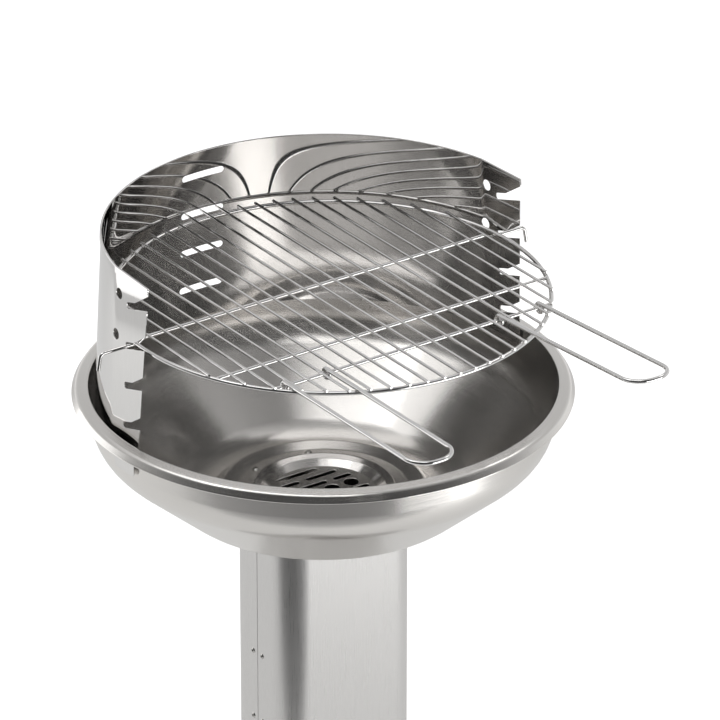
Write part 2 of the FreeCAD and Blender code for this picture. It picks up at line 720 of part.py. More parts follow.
def make_column_screws():
    """Two screws at the back of the head, and four round the foot socket."""
    screws = []
    for x in (-LUG_SCREW_X, LUG_SCREW_X):
        screws.append(screw(V(x, COL_D / 2, lug_screw_z()), V(0, -1, 0), LUG_SCREW_L))
    for sy in (-1, 1):
        for x in (-FOOT_SCREW_X, FOOT_SCREW_X):
            screws.append(screw(V(x, sy * COL_D / 2, FOOT_SCREW_Z), V(0, -sy, 0), FOOT_SCREW_L))
    return Part.makeCompound(screws)


def make_base_plate():
    plate = rounded_block(BASE_SIZE / 2, BASE_SIZE / 2, BASE_CORNER, 0, BASE_T)
    top = [e for e in plate.Edges if abs(e.BoundBox.ZMin - BASE_T) < 1e-6]
    plate = plate.makeChamfer(BASE_CHAMFER, top)
    for sx in (-1, 1):
        for sy in (-1, 1):
            x = sx * ANCHOR_SPACING / 2
            y = sy * ANCHOR_SPACING / 2
            plate = plate.cut(cyl(ANCHOR_R, V(x, y, -1), V(x, y, BASE_T + 1)))
    for x in (-DRAIN_X, DRAIN_X):
        plate = plate.cut(cyl(DRAIN_R, V(x, 0, -1), V(x, 0, BASE_T + 1)))
    return plate


def make_foot_socket():
    half_x = COL_W / 2 - COL_T - SOCKET_GAP
    half_y = COL_D / 2 - COL_T - SOCKET_GAP
    corner = COL_CORNER - COL_T - SOCKET_GAP
    socket = rounded_block(half_x, half_y, corner, BASE_T, SOCKET_TOP_Z)
    inside = rounded_block(half_x - SOCKET_T, half_y - SOCKET_T, corner - SOCKET_T, BASE_T, SOCKET_TOP_Z)
    socket = socket.cut(inside)
    for sign in (-1, 1):
        socket = cut_wall_holes(socket, sign, (-FOOT_SCREW_X, FOOT_SCREW_X), FOOT_SCREW_Z, SCREW_R)
    return socket


def make_drawer_box():
    """Ash pan: a folded tray, open at the top."""
    tray = box(-DRAWER_HALF_W, DRAWER_HALF_W, DRAWER_FRONT_Y, DRAWER_BACK_Y, DRAWER_Z[0], DRAWER_Z[1])
    inside = box(-DRAWER_HALF_W + DRAWER_T, DRAWER_HALF_W - DRAWER_T, DRAWER_FRONT_Y + DRAWER_T,
                 DRAWER_BACK_Y - DRAWER_T, DRAWER_Z[0] + DRAWER_T, DRAWER_Z[1] + 1)
    tray = tray.cut(inside)
    # the wall behind the panel comes forward through the opening and meets it
    y0 = front_panel_back_y()
    wall = box(-DRAWER_HALF_W, DRAWER_HALF_W, y0, DRAWER_FRONT_Y + DRAWER_T, DRAWER_Z[0], DRAWER_Z[1])
    tray = tray.fuse(wall).removeSplitter()
    for x in (-BOW_HALF_W, BOW_HALF_W):
        tray = tray.cut(cyl(BOW_HOLE_R, V(x, y0 - 1, BOW_Z), V(x, DRAWER_FRONT_Y + 2, BOW_Z)))
    return tray


def front_panel_back_y():
    return -COL_D / 2 - FRONT_GAP


def make_drawer_front():
    """Drawer panel, a flat sheet with round corners that covers the opening."""
    y1 = front_panel_back_y()
    y0 = y1 - FRONT_T
    panel = box(-FRONT_HALF_W, FRONT_HALF_W, y0, y1, FRONT_Z[0], FRONT_Z[1])
    upright = [e for e in panel.Edges if abs(e.Vertexes[0].X - e.Vertexes[1].X) < 1e-6
               and abs(e.Vertexes[0].Z - e.Vertexes[1].Z) < 1e-6]
    panel = panel.makeFillet(FRONT_CORNER, upright)
    for x in (-BOW_HALF_W, BOW_HALF_W):
        panel = panel.cut(cyl(BOW_HOLE_R, V(x, y0 - 1, BOW_Z), V(x, y1 + 1, BOW_Z)))
    return panel


def make_drawer_bow():
    y1 = front_panel_back_y() - FRONT_T
    y0 = y1 - BOW_REACH
    points = [V(-BOW_HALF_W, y1, BOW_Z), V(-BOW_HALF_W, y0, BOW_Z),
              V(BOW_HALF_W, y0, BOW_Z), V(BOW_HALF_W, y1, BOW_Z)]
    bow = pipe(points, [BOW_BEND_R, BOW_BEND_R], BOW_WIRE_R)
    for x in (-BOW_HALF_W, BOW_HALF_W):
        bow = bow.cut(cyl(BOW_SCREW_R, V(x, y1 - BOW_TAP, BOW_Z), V(x, y1 + 1, BOW_Z)))
    return bow


def make_bow_screws():
    """Screws from inside the tray's front wall into the ends of the bow."""
    seat = DRAWER_FRONT_Y + DRAWER_T
    length = seat - front_panel_back_y() + FRONT_T + BOW_TAP - BOW_SCREW_END_GAP
    head_r, head_h = BOW_SCREW_HEAD
    screws = [screw(V(x, seat, BOW_Z), V(0, -1, 0), length, BOW_SCREW_R, head_r, head_h)
              for x in (-BOW_HALF_W, BOW_HALF_W)]
    return Part.makeCompound(screws)


def make_runners():
    """Two angles that carry the tray, from the front shell to the rear shell."""
    runners = []
    y0 = -COL_D / 2 + COL_T
    y1 = COL_D / 2 - COL_T
    z1 = DRAWER_Z[0] - RUNNER_GAP_UNDER
    inside = DRAWER_HALF_W + RUNNER_GAP_SIDE
    for sx in (-1, 1):
        wall = sorted((sx * inside, sx * (inside + RUNNER_T)))
        ledge = sorted((sx * (inside - RUNNER_FLANGE), sx * (inside + RUNNER_T)))
        tab = sorted((sx * inside, sx * (inside + RUNNER_TAB)))
        angle = box(wall[0], wall[1], y0, y1, z1 - RUNNER_T, z1 + RUNNER_H)
        angle = angle.fuse(box(ledge[0], ledge[1], y0, y1, z1 - RUNNER_T, z1))
        angle = angle.fuse(box(tab[0], tab[1], y1 - RUNNER_T, y1, z1 - RUNNER_T, z1 + RUNNER_H))
        angle = angle.fuse(box(tab[0], tab[1], y0, y0 + RUNNER_T, z1 - RUNNER_T, z1 + RUNNER_H))
        runners.append(angle.removeSplitter())
    return Part.makeCompound(runners)


def make_hopper():
    """Sheet funnel inside the column that leads the ash into the tray."""
    rim_x = COL_W / 2 - COL_T - STRIP_T
    rim_y = COL_D / 2 - COL_T - HOPPER_GAP
    layers = []
    for shrink in (0.0, HOPPER_T):
        half = (rim_x - shrink, rim_y - shrink)
        mouth_half = (HOPPER_MOUTH[0] - shrink, HOPPER_MOUTH[1] - shrink)
        top = rounded_rect(half[0], half[1], HOPPER_CORNER - shrink, HOPPER_RIM_Z)
        mouth = rounded_rect(mouth_half[0], mouth_half[1], HOPPER_MOUTH_CORNER, HOPPER_MOUTH_Z)
        cone = Part.makeLoft([mouth, top], True, True)
        collar = rounded_block(half[0], half[1], HOPPER_CORNER - shrink, HOPPER_RIM_Z, HOPPER_TOP_Z)
        layers.append(cone.fuse(collar))
    return layers[0].cut(layers[1]).removeSplitter()


NODES = {
    "base_plate": make_base_plate,
    "foot_socket": make_foot_socket,
    "column_front_shell": make_front_shell,
    "column_rear_shell": make_rear_shell,
    "column_seam_strips": make_seam_strips,
    "column_seam_rivets": make_seam_rivets,
    "column_head_plate": make_head_plate,
    "column_screws": make_column_screws,
    "ash_hopper": make_hopper,
    "drawer_runners": make_runners,
    "ash_drawer_tray": make_drawer_box,
    "ash_drawer_front": make_drawer_front,
    "ash_drawer_handle": make_drawer_bow,
    "ash_drawer_screws": make_bow_screws,
    "bowl": make_bowl,
    "bowl_screws": make_bowl_screws,
    "bowl_washers": make_bowl_washers,
    "bowl_nuts": make_bowl_nuts,
    "vent_collar": make_collar,
    "charcoal_grate": make_charcoal_grate,
    "windshield_back": make_windshield_back,
    "windshield_side_left": make_windshield_side_left,
    "windshield_side_right": make_windshield_side_right,
    "grate_ring": make_ring,
    "grate_bars": make_bars,
    "grate_cross_wires": make_cross_wires,
    "grate_hanger_rod": make_hanger_rod,
    "handle_left": lambda: make_handle("left"),
    "handle_right": lambda: make_handle("right"),
}

os.makedirs("parts", exist_ok=True)
for node, make in NODES.items():
    shape = make()
    shape.exportStep("parts/" + node + ".step")
    print(node, "solids", len(shape.Solids), "valid", shape.isValid(), "volume", round(shape.Volume, 1),
          "z", round(shape.BoundBox.ZMin, 2), round(shape.BoundBox.ZMax, 2))
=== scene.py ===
"""Looks of a pedestal charcoal grill: formed sheet and wire pieces, steel finishes, studio and camera.

Lengths are in metres and angles in radians unless a name says otherwise. Z is up, the floor is
z = 0 on the column's axis, and the cook stands at -Y.
"""

import logging
import math
import random
from dataclasses import dataclass, field
from enum import Enum
from typing import Callable, Sequence

import bpy
import numpy as np
from mathutils import Matrix, Vector
from mathutils.geometry import delaunay_2d_cdt


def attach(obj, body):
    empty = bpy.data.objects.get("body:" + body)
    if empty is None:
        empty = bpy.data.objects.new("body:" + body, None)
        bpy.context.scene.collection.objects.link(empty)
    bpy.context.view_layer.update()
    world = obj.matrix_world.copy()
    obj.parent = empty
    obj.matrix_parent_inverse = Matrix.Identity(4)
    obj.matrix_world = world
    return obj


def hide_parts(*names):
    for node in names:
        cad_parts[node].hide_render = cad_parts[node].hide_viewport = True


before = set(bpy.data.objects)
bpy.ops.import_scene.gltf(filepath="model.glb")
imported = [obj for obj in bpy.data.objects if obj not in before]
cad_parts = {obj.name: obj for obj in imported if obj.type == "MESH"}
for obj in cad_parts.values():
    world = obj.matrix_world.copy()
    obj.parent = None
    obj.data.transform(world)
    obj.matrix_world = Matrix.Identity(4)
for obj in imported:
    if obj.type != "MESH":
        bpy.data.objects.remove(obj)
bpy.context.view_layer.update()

LOG = logging.getLogger("grill")

Pair = tuple[float, float]
Triple = tuple[float, float, float]
Loop = list[Pair]
Path = list[tuple[Vector, Vector]]
Placement = Callable[[float, float], tuple[Vector, Vector]]
Socket = bpy.types.NodeSocket

UP = Vector((0.0, 0.0, 1.0))
SIDEWAYS = Vector((1.0, 0.0, 0.0))
SIDES = (-1, 1)
FULL_TURN = 2 * math.pi
ARC_STEP = math.radians(7.5)
LOOP_STEP = math.radians(12)
CREASE = math.radians(32)
LEAST_TURN = 1e-4
LEAST_MITRE = 0.5
SAME_POINT = 1e-6
SAME_LINE = 1e-9
END_SHARE = 1e-3
KEY_DIGITS = 7
NOISE_RANGE = (0.3, 0.7)
SKIRT_Z = 0.744
SHEET_EDGE = 0.00015


class Body(Enum):
    """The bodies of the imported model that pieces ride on."""

    STAND = "stand"
    GRATE = "cooking_grate"
    LEFT_HANDLE = "left_handle"
    RIGHT_HANDLE = "right_handle"
    DISC = "charcoal_disc"


# Drawing helpers


@dataclass
class Draft:
    """Points, faces and corner normals of one piece while it is drawn."""

    points: list[Vector] = field(default_factory=list)
    faces: list[tuple[int, ...]] = field(default_factory=list)
    normals: list[Vector] = field(default_factory=list)

    def point(self, at: Vector) -> int:
        """Adds a point and returns its number."""
        self.points.append(at)
        return len(self.points) - 1

    def face(self, corners: Sequence[int], normals: Sequence[Vector]) -> None:
        """Adds a face with one normal per corner, dropping corners that repeat.

        Args:
            corners: Point numbers, anticlockwise seen from outside.
            normals: The shading normal at each corner.
        """
        kept = [k for k in range(len(corners)) if corners[k] != corners[k - 1]]
        if len(kept) > 2:
            self.faces.append(tuple(corners[k] for k in kept))
            self.normals.extend(normals[k] for k in kept)

    def flat(self, corners: Sequence[int]) -> None:
        """Adds a face that is shaded flat."""
        a, b, c = (self.points[corners[k]] for k in (0, 1, 2))
        self.face(corners, [(b - a).cross(c - b).normalized()] * len(corners))

    def flat_towards(self, corners: Sequence[int], towards: Vector) -> None:
        """Adds a flat face that looks a given way."""
        a, b, c = (self.points[corners[k]] for k in (0, 1, 2))
        self.flat(corners if (b - a).cross(c - b).dot(towards) > 0 else corners[::-1])

    def build(self, name: str) -> bpy.types.Object:
        """Turns the draft into an object in the scene.

        Args:
            name: The object's name.

        Returns:
            The new object, with its shading normals set.
        """
        mesh = bpy.data.meshes.new(name)
        mesh.from_pydata([tuple(p) for p in self.points], [], self.faces)
        mesh.shade_smooth()
        mesh.normals_split_custom_set([tuple(n) for n in self.normals])
        made = bpy.data.objects.new(name, mesh)
        bpy.context.scene.collection.objects.link(made)
        return made


def rounded(corners: Sequence[Vector], radii: Sequence[float], step: float = ARC_STEP) -> Path:
    """Lays an open path of straight runs with an arc at each inner corner.

    Args:
        corners: The path's ends and corners.
        radii: Bend radius at each inner corner, 0 for a sharp one.
        step: Largest turn between two points of an arc.

    Returns:
        Points and unit tangents. A sharp corner gives two entries, one per run.
    """
    path: Path = [(corners[0], (corners[1] - corners[0]).normalized())]
    for before, corner, after, radius in zip(corners, corners[1:], corners[2:], radii):
        came, goes = (corner - before).normalized(), (after - corner).normalized()
        turn = came.angle(goes)
        if radius <= 0.0 or turn < LEAST_TURN:
            path += [(corner, came), (corner, goes)]
            continue
        start = corner - came * radius * math.tan(turn / 2)
        centre = corner + (goes - came).normalized() * radius / math.cos(turn / 2)
        spoke = start - centre
        count = max(2, math.ceil(turn / step))
        for k in range(count + 1):
            a = turn * k / count
            at = centre + spoke * math.cos(a) + came * radius * math.sin(a)
            path.append((at, (came * math.cos(a) - spoke / radius * math.sin(a)).normalized()))
    path.append((corners[-1], (corners[-1] - corners[-2]).normalized()))
    return path


def ring_path(centre: Vector, radius: float, count: int) -> Path:
    """Lays a level circle.

    Args:
        centre: Its centre.
        radius: Its radius.
        count: How many points it gets.

    Returns:
        Points and unit tangents.
    """
    path: Path = []
    for a in around(count):
        out = Vector((math.cos(a), math.sin(a), 0.0))
        path.append((centre + out * radius, Vector((-out.y, out.x, 0.0))))
    return path


def tube(draft: Draft, path: Path, radius: float, sides: int = 14, closed: bool = False) -> None:
    """Draws round wire along a path, with its cut ends slightly rounded over.

    Args:
        draft: The piece being drawn.
        path: Points and tangents of the wire's axis.
        radius: The wire's radius.
        sides: Faces round the wire.
        closed: Whether the path's end meets its start.
    """
    steep, end_share = 0.9, 0.22
    tangent = path[0][1]
    side = tangent.cross(UP if abs(tangent.z) < steep else SIDEWAYS).normalized()
    rings: list[list[int]] = []
    spokes: list[list[Vector]] = []
    for at, along in path:
        side = (tangent.rotation_difference(along) @ side).normalized()
        tangent = along
        other = along.cross(side)
        spokes.append([side * math.cos(a) + other * math.sin(a) for a in around(sides)])
        rings.append([draft.point(at + s * radius) for s in spokes[-1]])
    order = list(range(len(rings))) + ([0] if closed else [])
    for i, j in zip(order, order[1:]):
        for k in range(sides):
            m = (k + 1) % sides
            draft.face((rings[i][k], rings[i][m], rings[j][m], rings[j][k]),
                       (spokes[i][k], spokes[i][m], spokes[j][m], spokes[j][k]))
    if closed:
        return
    lip = radius * end_share
    for i, sign in ((0, -1), (len(rings) - 1, 1)):
        at, along = path[i]
        out = along * sign
        rim = [draft.point(at + s * (radius - lip) + out * lip) for s in spokes[i]]
        for k in range(sides):
            m = (k + 1) % sides
            quad = (rings[i][k], rings[i][m], rim[m], rim[k])
            shades = (spokes[i][k], spokes[i][m], out, out)
            draft.face(quad[::sign], shades[::sign])
        draft.face(rim[::sign], [out] * sides)


def blob(draft: Draft, centre: Vector, along: Vector, across: Vector, high: Vector) -> None:
    """Draws a small weld bead as a rounded lump.

    Args:
        draft: The piece being drawn.
        centre: The bead's middle.
        along: Half axis in the first direction.
        across: Half axis in the second direction.
        high: Half axis in the third direction, with along x across pointing the same way.
    """
    sides, belts = 10, 5
    axes = (along, across, high)
    rings = []
    for i in range(1, belts):
        tilt = math.pi * i / belts
        row = []
        for a in around(sides):
            unit = (math.sin(tilt) * math.cos(a), math.sin(tilt) * math.sin(a), math.cos(tilt))
            at = centre + sum((axis * u for axis, u in zip(axes, unit)), Vector())
            slope = sum((axis * (u / axis.length_squared) for axis, u in zip(axes, unit)), Vector())
            row.append((draft.point(at), slope.normalized()))
        rings.append(row)
    top, foot = draft.point(centre + high), draft.point(centre - high)
    for k in range(sides):
        m = (k + 1) % sides
        (a, na), (b, nb) = rings[0][k], rings[0][m]
        draft.face((top, a, b), (high.normalized(), na, nb))
        for upper, lower in zip(rings, rings[1:]):
            corners = (upper[k], lower[k], lower[m], upper[m])
            draft.face([c[0] for c in corners], [c[1] for c in corners])
        (a, na), (b, nb) = rings[-1][k], rings[-1][m]
        draft.face((foot, b, a), (-high.normalized(), nb, na))


def around(count: int) -> list[float]:
    """Evenly spaced angles over a full turn."""
    return [FULL_TURN * k / count for k in range(count)]


def swung(radius: float, z: float, angle: float) -> Vector:
    """The point at a radius and height, swung about the Z axis."""
    return Vector((radius * math.cos(angle), radius * math.sin(angle), z))


def crossing(strip: Path, heights: Sequence[float]) -> Path:
    """Adds points to a strip where it crosses given heights.

    Args:
        strip: Points and tangents.
        heights: The heights.

    Returns:
        The strip with the added points.
    """
    made: Path = [strip[0]]
    for (a, ta), (b, tb) in zip(strip, strip[1:]):
        shares = sorted((z - a.z) / (b.z - a.z) for z in heights if min(a.z, b.z) < z < max(a.z, b.z))
        made += [(a.lerp(b, share), ta.lerp(tb, share).normalized()) for share in shares]
        made.append((b, tb))
    return made


def turned(draft: Draft, section: Sequence[Path], turns: Sequence[float],
           cut: Callable[[float, float], bool] = lambda z, angle: False) -> list[list[list[int]]]:
    """Turns a closed section about the Z axis.

    Args:
        draft: The piece being drawn.
        section: Strips of (R, 0, z) points with tangents, end to end round the section, with the
            material on their right.
        turns: Angles of the steps round the axis.
        cut: Whether the face at a height and angle is left out.

    Returns:
        Point numbers as [strip][place on the strip][step].
    """
    known: dict[Pair, list[int]] = {}
    count = len(turns)
    grid = []
    for strip in section:
        rows = []
        for at, _ in strip:
            key = (round(at.x, KEY_DIGITS), round(at.z, KEY_DIGITS))
            if key not in known:
                known[key] = [draft.point(swung(at.x, at.z, a)) for a in turns]
            rows.append(known[key])
        grid.append(rows)
        shades = [[swung(-along.z, along.x, a) for a in turns] for _, along in strip]
        for i in range(len(strip) - 1):
            if rows[i] is rows[i + 1]:
                continue
            height = (strip[i][0].z + strip[i + 1][0].z) / 2
            for k in range(count):
                m = (k + 1) % count
                if cut(height, turns[k] + ((turns[m] - turns[k]) % FULL_TURN) / 2):
                    continue
                draft.face((rows[i][k], rows[i + 1][k], rows[i + 1][m], rows[i][m]),
                           (shades[i][k], shades[i + 1][k], shades[i + 1][m], shades[i][m]))
    return grid


def sheet_section(profile: Sequence[Pair], radii: Sequence[float], thickness: float) -> list[Path]:
    """Section of a turned sheet, as its upper skin, outer edge, lower skin and inner edge.

    Args:
        profile: The upper face's corners as (R, z), from the inside out.
        radii: Bend radius of the upper face at each inner corner.
        thickness: The sheet's thickness, which lies below the profile.

    Returns:
        Four strips for turned().
    """
    upper = [Vector((r, 0.0, z)) for r, z in profile]
    runs = [(b - a).normalized() for a, b in zip(upper, upper[1:])]
    below = [Vector((run.z, 0.0, -run.x)) for run in runs]
    lower = []
    for i, at in enumerate(upper):
        before, after = below[max(i - 1, 0)], below[min(i, len(below) - 1)]
        lower.append(at + (before + after) * thickness / (1 + before.dot(after)))
    inner_radii = []
    for i, radius in enumerate(radii):
        rises = below[i].x * below[i + 1].z - below[i].z * below[i + 1].x > 0
        inner_radii.append(radius + thickness if rises else radius - thickness)
    top = rounded(upper, radii)
    under = [(at, -along) for at, along in reversed(rounded(lower, inner_radii))]
    edge_out = rounded([upper[-1], lower[-1]], [])
    edge_in = rounded([lower[0], upper[0]], [])
    return [top, edge_out, under, edge_in]


def circle(u: float, v: float, radius: float, count: int = 24) -> Loop:
    """A round hole's loop, clockwise."""
    turns = [-2 * math.pi * k / count for k in range(count)]
    return [(u + radius * math.cos(a), v + radius * math.sin(a)) for a in turns]


def slot(u0: float, u1: float, v: float, width: float, count: int = 8) -> Loop:
    """Lays a level slot with round ends.

    Args:
        u0: Its left end.
        u1: Its right end.
        v: Its middle line.
        width: Its width.
        count: Steps round each end.

    Returns:
        The slot's loop, clockwise.
    """
    r = width / 2
    right = [(u1 - r + r * math.cos(a), v + r * math.sin(a))
             for a in (math.pi / 2 - math.pi * k / count for k in range(count + 1))]
    left = [(u0 + r + r * math.cos(a), v + r * math.sin(a))
            for a in (-math.pi / 2 - math.pi * k / count for k in range(count + 1))]
    return right + left


def loop_of(corners: Loop, radii: Sequence[float], step: float = LOOP_STEP) -> Loop:
    """Rounds the corners of a closed loop.

    Args:
        corners: The loop's corners in order.
        radii: Radius at each corner.
        step: Largest turn between two points of an arc.

    Returns:
        The rounded loop.
    """
    flat = [Vector((u, v, 0.0)) for u, v in corners]
    middle = (flat[0] + flat[-1]) / 2
    path = rounded([middle, *flat, middle], radii, step)
    points: Loop = []
    for at, _ in path[:-1]:
        if not points or math.hypot(at.x - points[-1][0], at.y - points[-1][1]) > SAME_POINT:
            points.append((at.x, at.y))
    return points


def split_at(loop: Loop, us: Sequence[float], vs: Sequence[float]) -> Loop:
    """Adds points to a loop wherever it crosses a line of constant u or v.

    Args:
        loop: The closed loop.
        us: The lines of constant u.
        vs: The lines of constant v.

    Returns:
        The loop with the added points.
    """
    made: Loop = []
    for (u0, v0), (u1, v1) in zip(loop, loop[1:] + loop[:1]):
        shares = {(u - u0) / (u1 - u0) for u in us if abs(u1 - u0) > SAME_LINE}
        shares |= {(v - v0) / (v1 - v0) for v in vs if abs(v1 - v0) > SAME_LINE}
        made.append((u0, v0))
        last = 0.0
        for share in sorted(s for s in shares if END_SHARE < s < 1 - END_SHARE):
            if share - last > END_SHARE:
                made.append((u0 + (u1 - u0) * share, v0 + (v1 - v0) * share))
                last = share
    return made


def inside(points: np.ndarray, loop: Loop) -> np.ndarray:
    """Which points lie in a closed loop.

    Args:
        points: Points as rows of (u, v).
        loop: The closed loop.

    Returns:
        One truth value per point.
    """
    found = np.zeros(len(points), bool)
    u, v = points[:, 0], points[:, 1]
    for (u0, v0), (u1, v1) in zip(loop, loop[1:] + loop[:1]):
        if v0 != v1:
            crosses = (v0 > v) != (v1 > v)
            found ^= crosses & (u < (u1 - u0) * (v - v0) / (v1 - v0) + u0)
    return found


def edge_normals(loop: Loop) -> tuple[list[Vector], list[Vector], list[Vector]]:
    """In-plane normals of a loop, pointing away from the material on its left.

    Args:
        loop: Anticlockwise round material, or clockwise round a hole.

    Returns:
        Mitred normals for offsets, then the shading normals before and after each point.
    """
    sides = []
    for (u0, v0), (u1, v1) in zip(loop, loop[1:] + loop[:1]):
        sides.append(Vector((v1 - v0, u0 - u1, 0.0)).normalized())
    mitres, before, after = [], [], []
    for i, side in enumerate(sides):
        last = sides[i - 1]
        both = last + side
        mitres.append(both / max(LEAST_MITRE, 1 + last.dot(side)))
        smooth = last.dot(side) > math.cos(CREASE)
        before.append(both.normalized() if smooth else last)
        after.append(both.normalized() if smooth else side)
    return mitres, before, after


def on_material(points: np.ndarray, loops: Sequence[Loop]) -> np.ndarray:
    """Which points lie inside a sheet's outline and outside its holes.

    Args:
        points: Points as rows of (u, v).
        loops: The outline, then the holes.

    Returns:
        One truth value per point.
    """
    found = inside(points, loops[0])
    for loop in loops[1:]:
        found &= ~inside(points, loop)
    return found


def sheet(draft: Draft, loops: Sequence[Loop], place: Placement, thickness: float, lip: float,
          us: Sequence[float] = (), vs: Sequence[float] = ()) -> None:
    """Draws a sheet or plate with holes, its edges rounded over.

    A placement that mirrors (u, v) is found from its normal, and its faces are turned to match.

    Args:
        draft: The piece being drawn.
        loops: The outline, anticlockwise, then the holes, clockwise, in the sheet's own (u, v).
        place: Gives the first skin's point and the unit normal towards the other skin.
        thickness: The sheet's thickness.
        lip: How far the edges are rounded over.
        us: Lines of constant u that the mesh follows, where the sheet bends.
        vs: Lines of constant v that the mesh follows.
    """
    probe = 1e-4
    u, v = loops[0][0]
    corner, normal = place(u, v)
    spread = (place(u + probe, v)[0] - corner).cross(place(u, v + probe)[0] - corner)
    order = 1 if spread.dot(normal) > 0 else -1

    def add(corners: Sequence[int], shades: Sequence[Vector]) -> None:
        """Adds a face, turned over where the placement mirrors the sheet."""
        draft.face(corners[::order], shades[::order])

    edges_at = [split_at(loop, us, vs) for loop in loops]
    shrunk, shades = [], []
    for loop in edges_at:
        mitres, before, after = edge_normals(loop)
        shrunk.append([(u - m.x * lip, v - m.y * lip) for (u, v), m in zip(loop, mitres)])
        shades.append((before, after))
    flat = [Vector(p) for loop in shrunk for p in loop]
    edges = []
    start = 0
    for loop in shrunk:
        edges += [(start + k, start + (k + 1) % len(loop)) for k in range(len(loop))]
        start += len(loop)
    if us and vs:
        grid = np.array([(u, v) for u in us for v in vs])
        rim = np.array([tuple(p) for p in flat])
        near = np.array([np.min(np.abs(rim - g).sum(1)) for g in grid])
        flat += [Vector(g) for g in grid[on_material(grid, shrunk) & (near > lip * 2)]]
    points, _, triangles, origins, _, _ = delaunay_2d_cdt(flat, edges, [], 0, SAME_LINE)
    middles = np.array([[sum(points[k][c] for k in t) / 3 for c in (0, 1)] for t in triangles])
    kept = on_material(middles, shrunk)
    first, second, normals = {}, {}, {}
    for k, origin in enumerate(origins):
        key = origin[0] if origin else len(flat) + k
        u, v = points[k]
        at, normal = place(u, v)
        first[key], second[key] = draft.point(at), draft.point(at + normal * thickness)
        normals[key] = normal
        for other in origin[1:]:
            first[other], second[other], normals[other] = first[key], second[key], normal
    keys = [origin[0] if origin else len(flat) + k for k, origin in enumerate(origins)]
    for triangle, use in zip(triangles, kept):
        if use:
            a, b, c = (keys[k] for k in triangle)
            add((second[a], second[b], second[c]), (normals[a], normals[b], normals[c]))
            add((first[a], first[c], first[b]), (-normals[a], -normals[c], -normals[b]))
    start = 0
    for loop, (before, after) in zip(edges_at, shades):
        rows = []
        for u, v in loop:
            at, normal = place(u, v)
            rows.append((draft.point(at + normal * lip), draft.point(at + normal * (thickness - lip))))
        count = len(loop)
        for k in range(count):
            m = (k + 1) % count
            outs = []
            for q, side in ((k, after[k]), (m, before[m])):
                u, v = loop[q]
                reach = 1e-5
                there, _ = place(u + side.x * reach, v + side.y * reach)
                here, _ = place(u - side.x * reach, v - side.y * reach)
                outs.append((there - here).normalized())
            a, b = start + k, start + m
            na, nb = normals[a], normals[b]
            add((first[a], first[b], rows[m][0], rows[k][0]), (-na, -nb, outs[1], outs[0]))
            add((rows[k][0], rows[m][0], rows[m][1], rows[k][1]), (outs[0], outs[1], outs[1], outs[0]))
            add((rows[k][1], rows[m][1], second[b], second[a]), (outs[0], outs[1], nb, na))
        start += count


def level(z: float) -> Placement:
    """Places a level plate whose lower skin is at height z."""
    return lambda u, v: (Vector((u, v, z)), UP)


def spaced(low: float, high: float, step: float) -> list[float]:
    """Evenly spaced values from low to high, both kept."""
    count = max(1, round((high - low) / step))
    return [low + (high - low) * k / count for k in range(count + 1)]


# Finishes


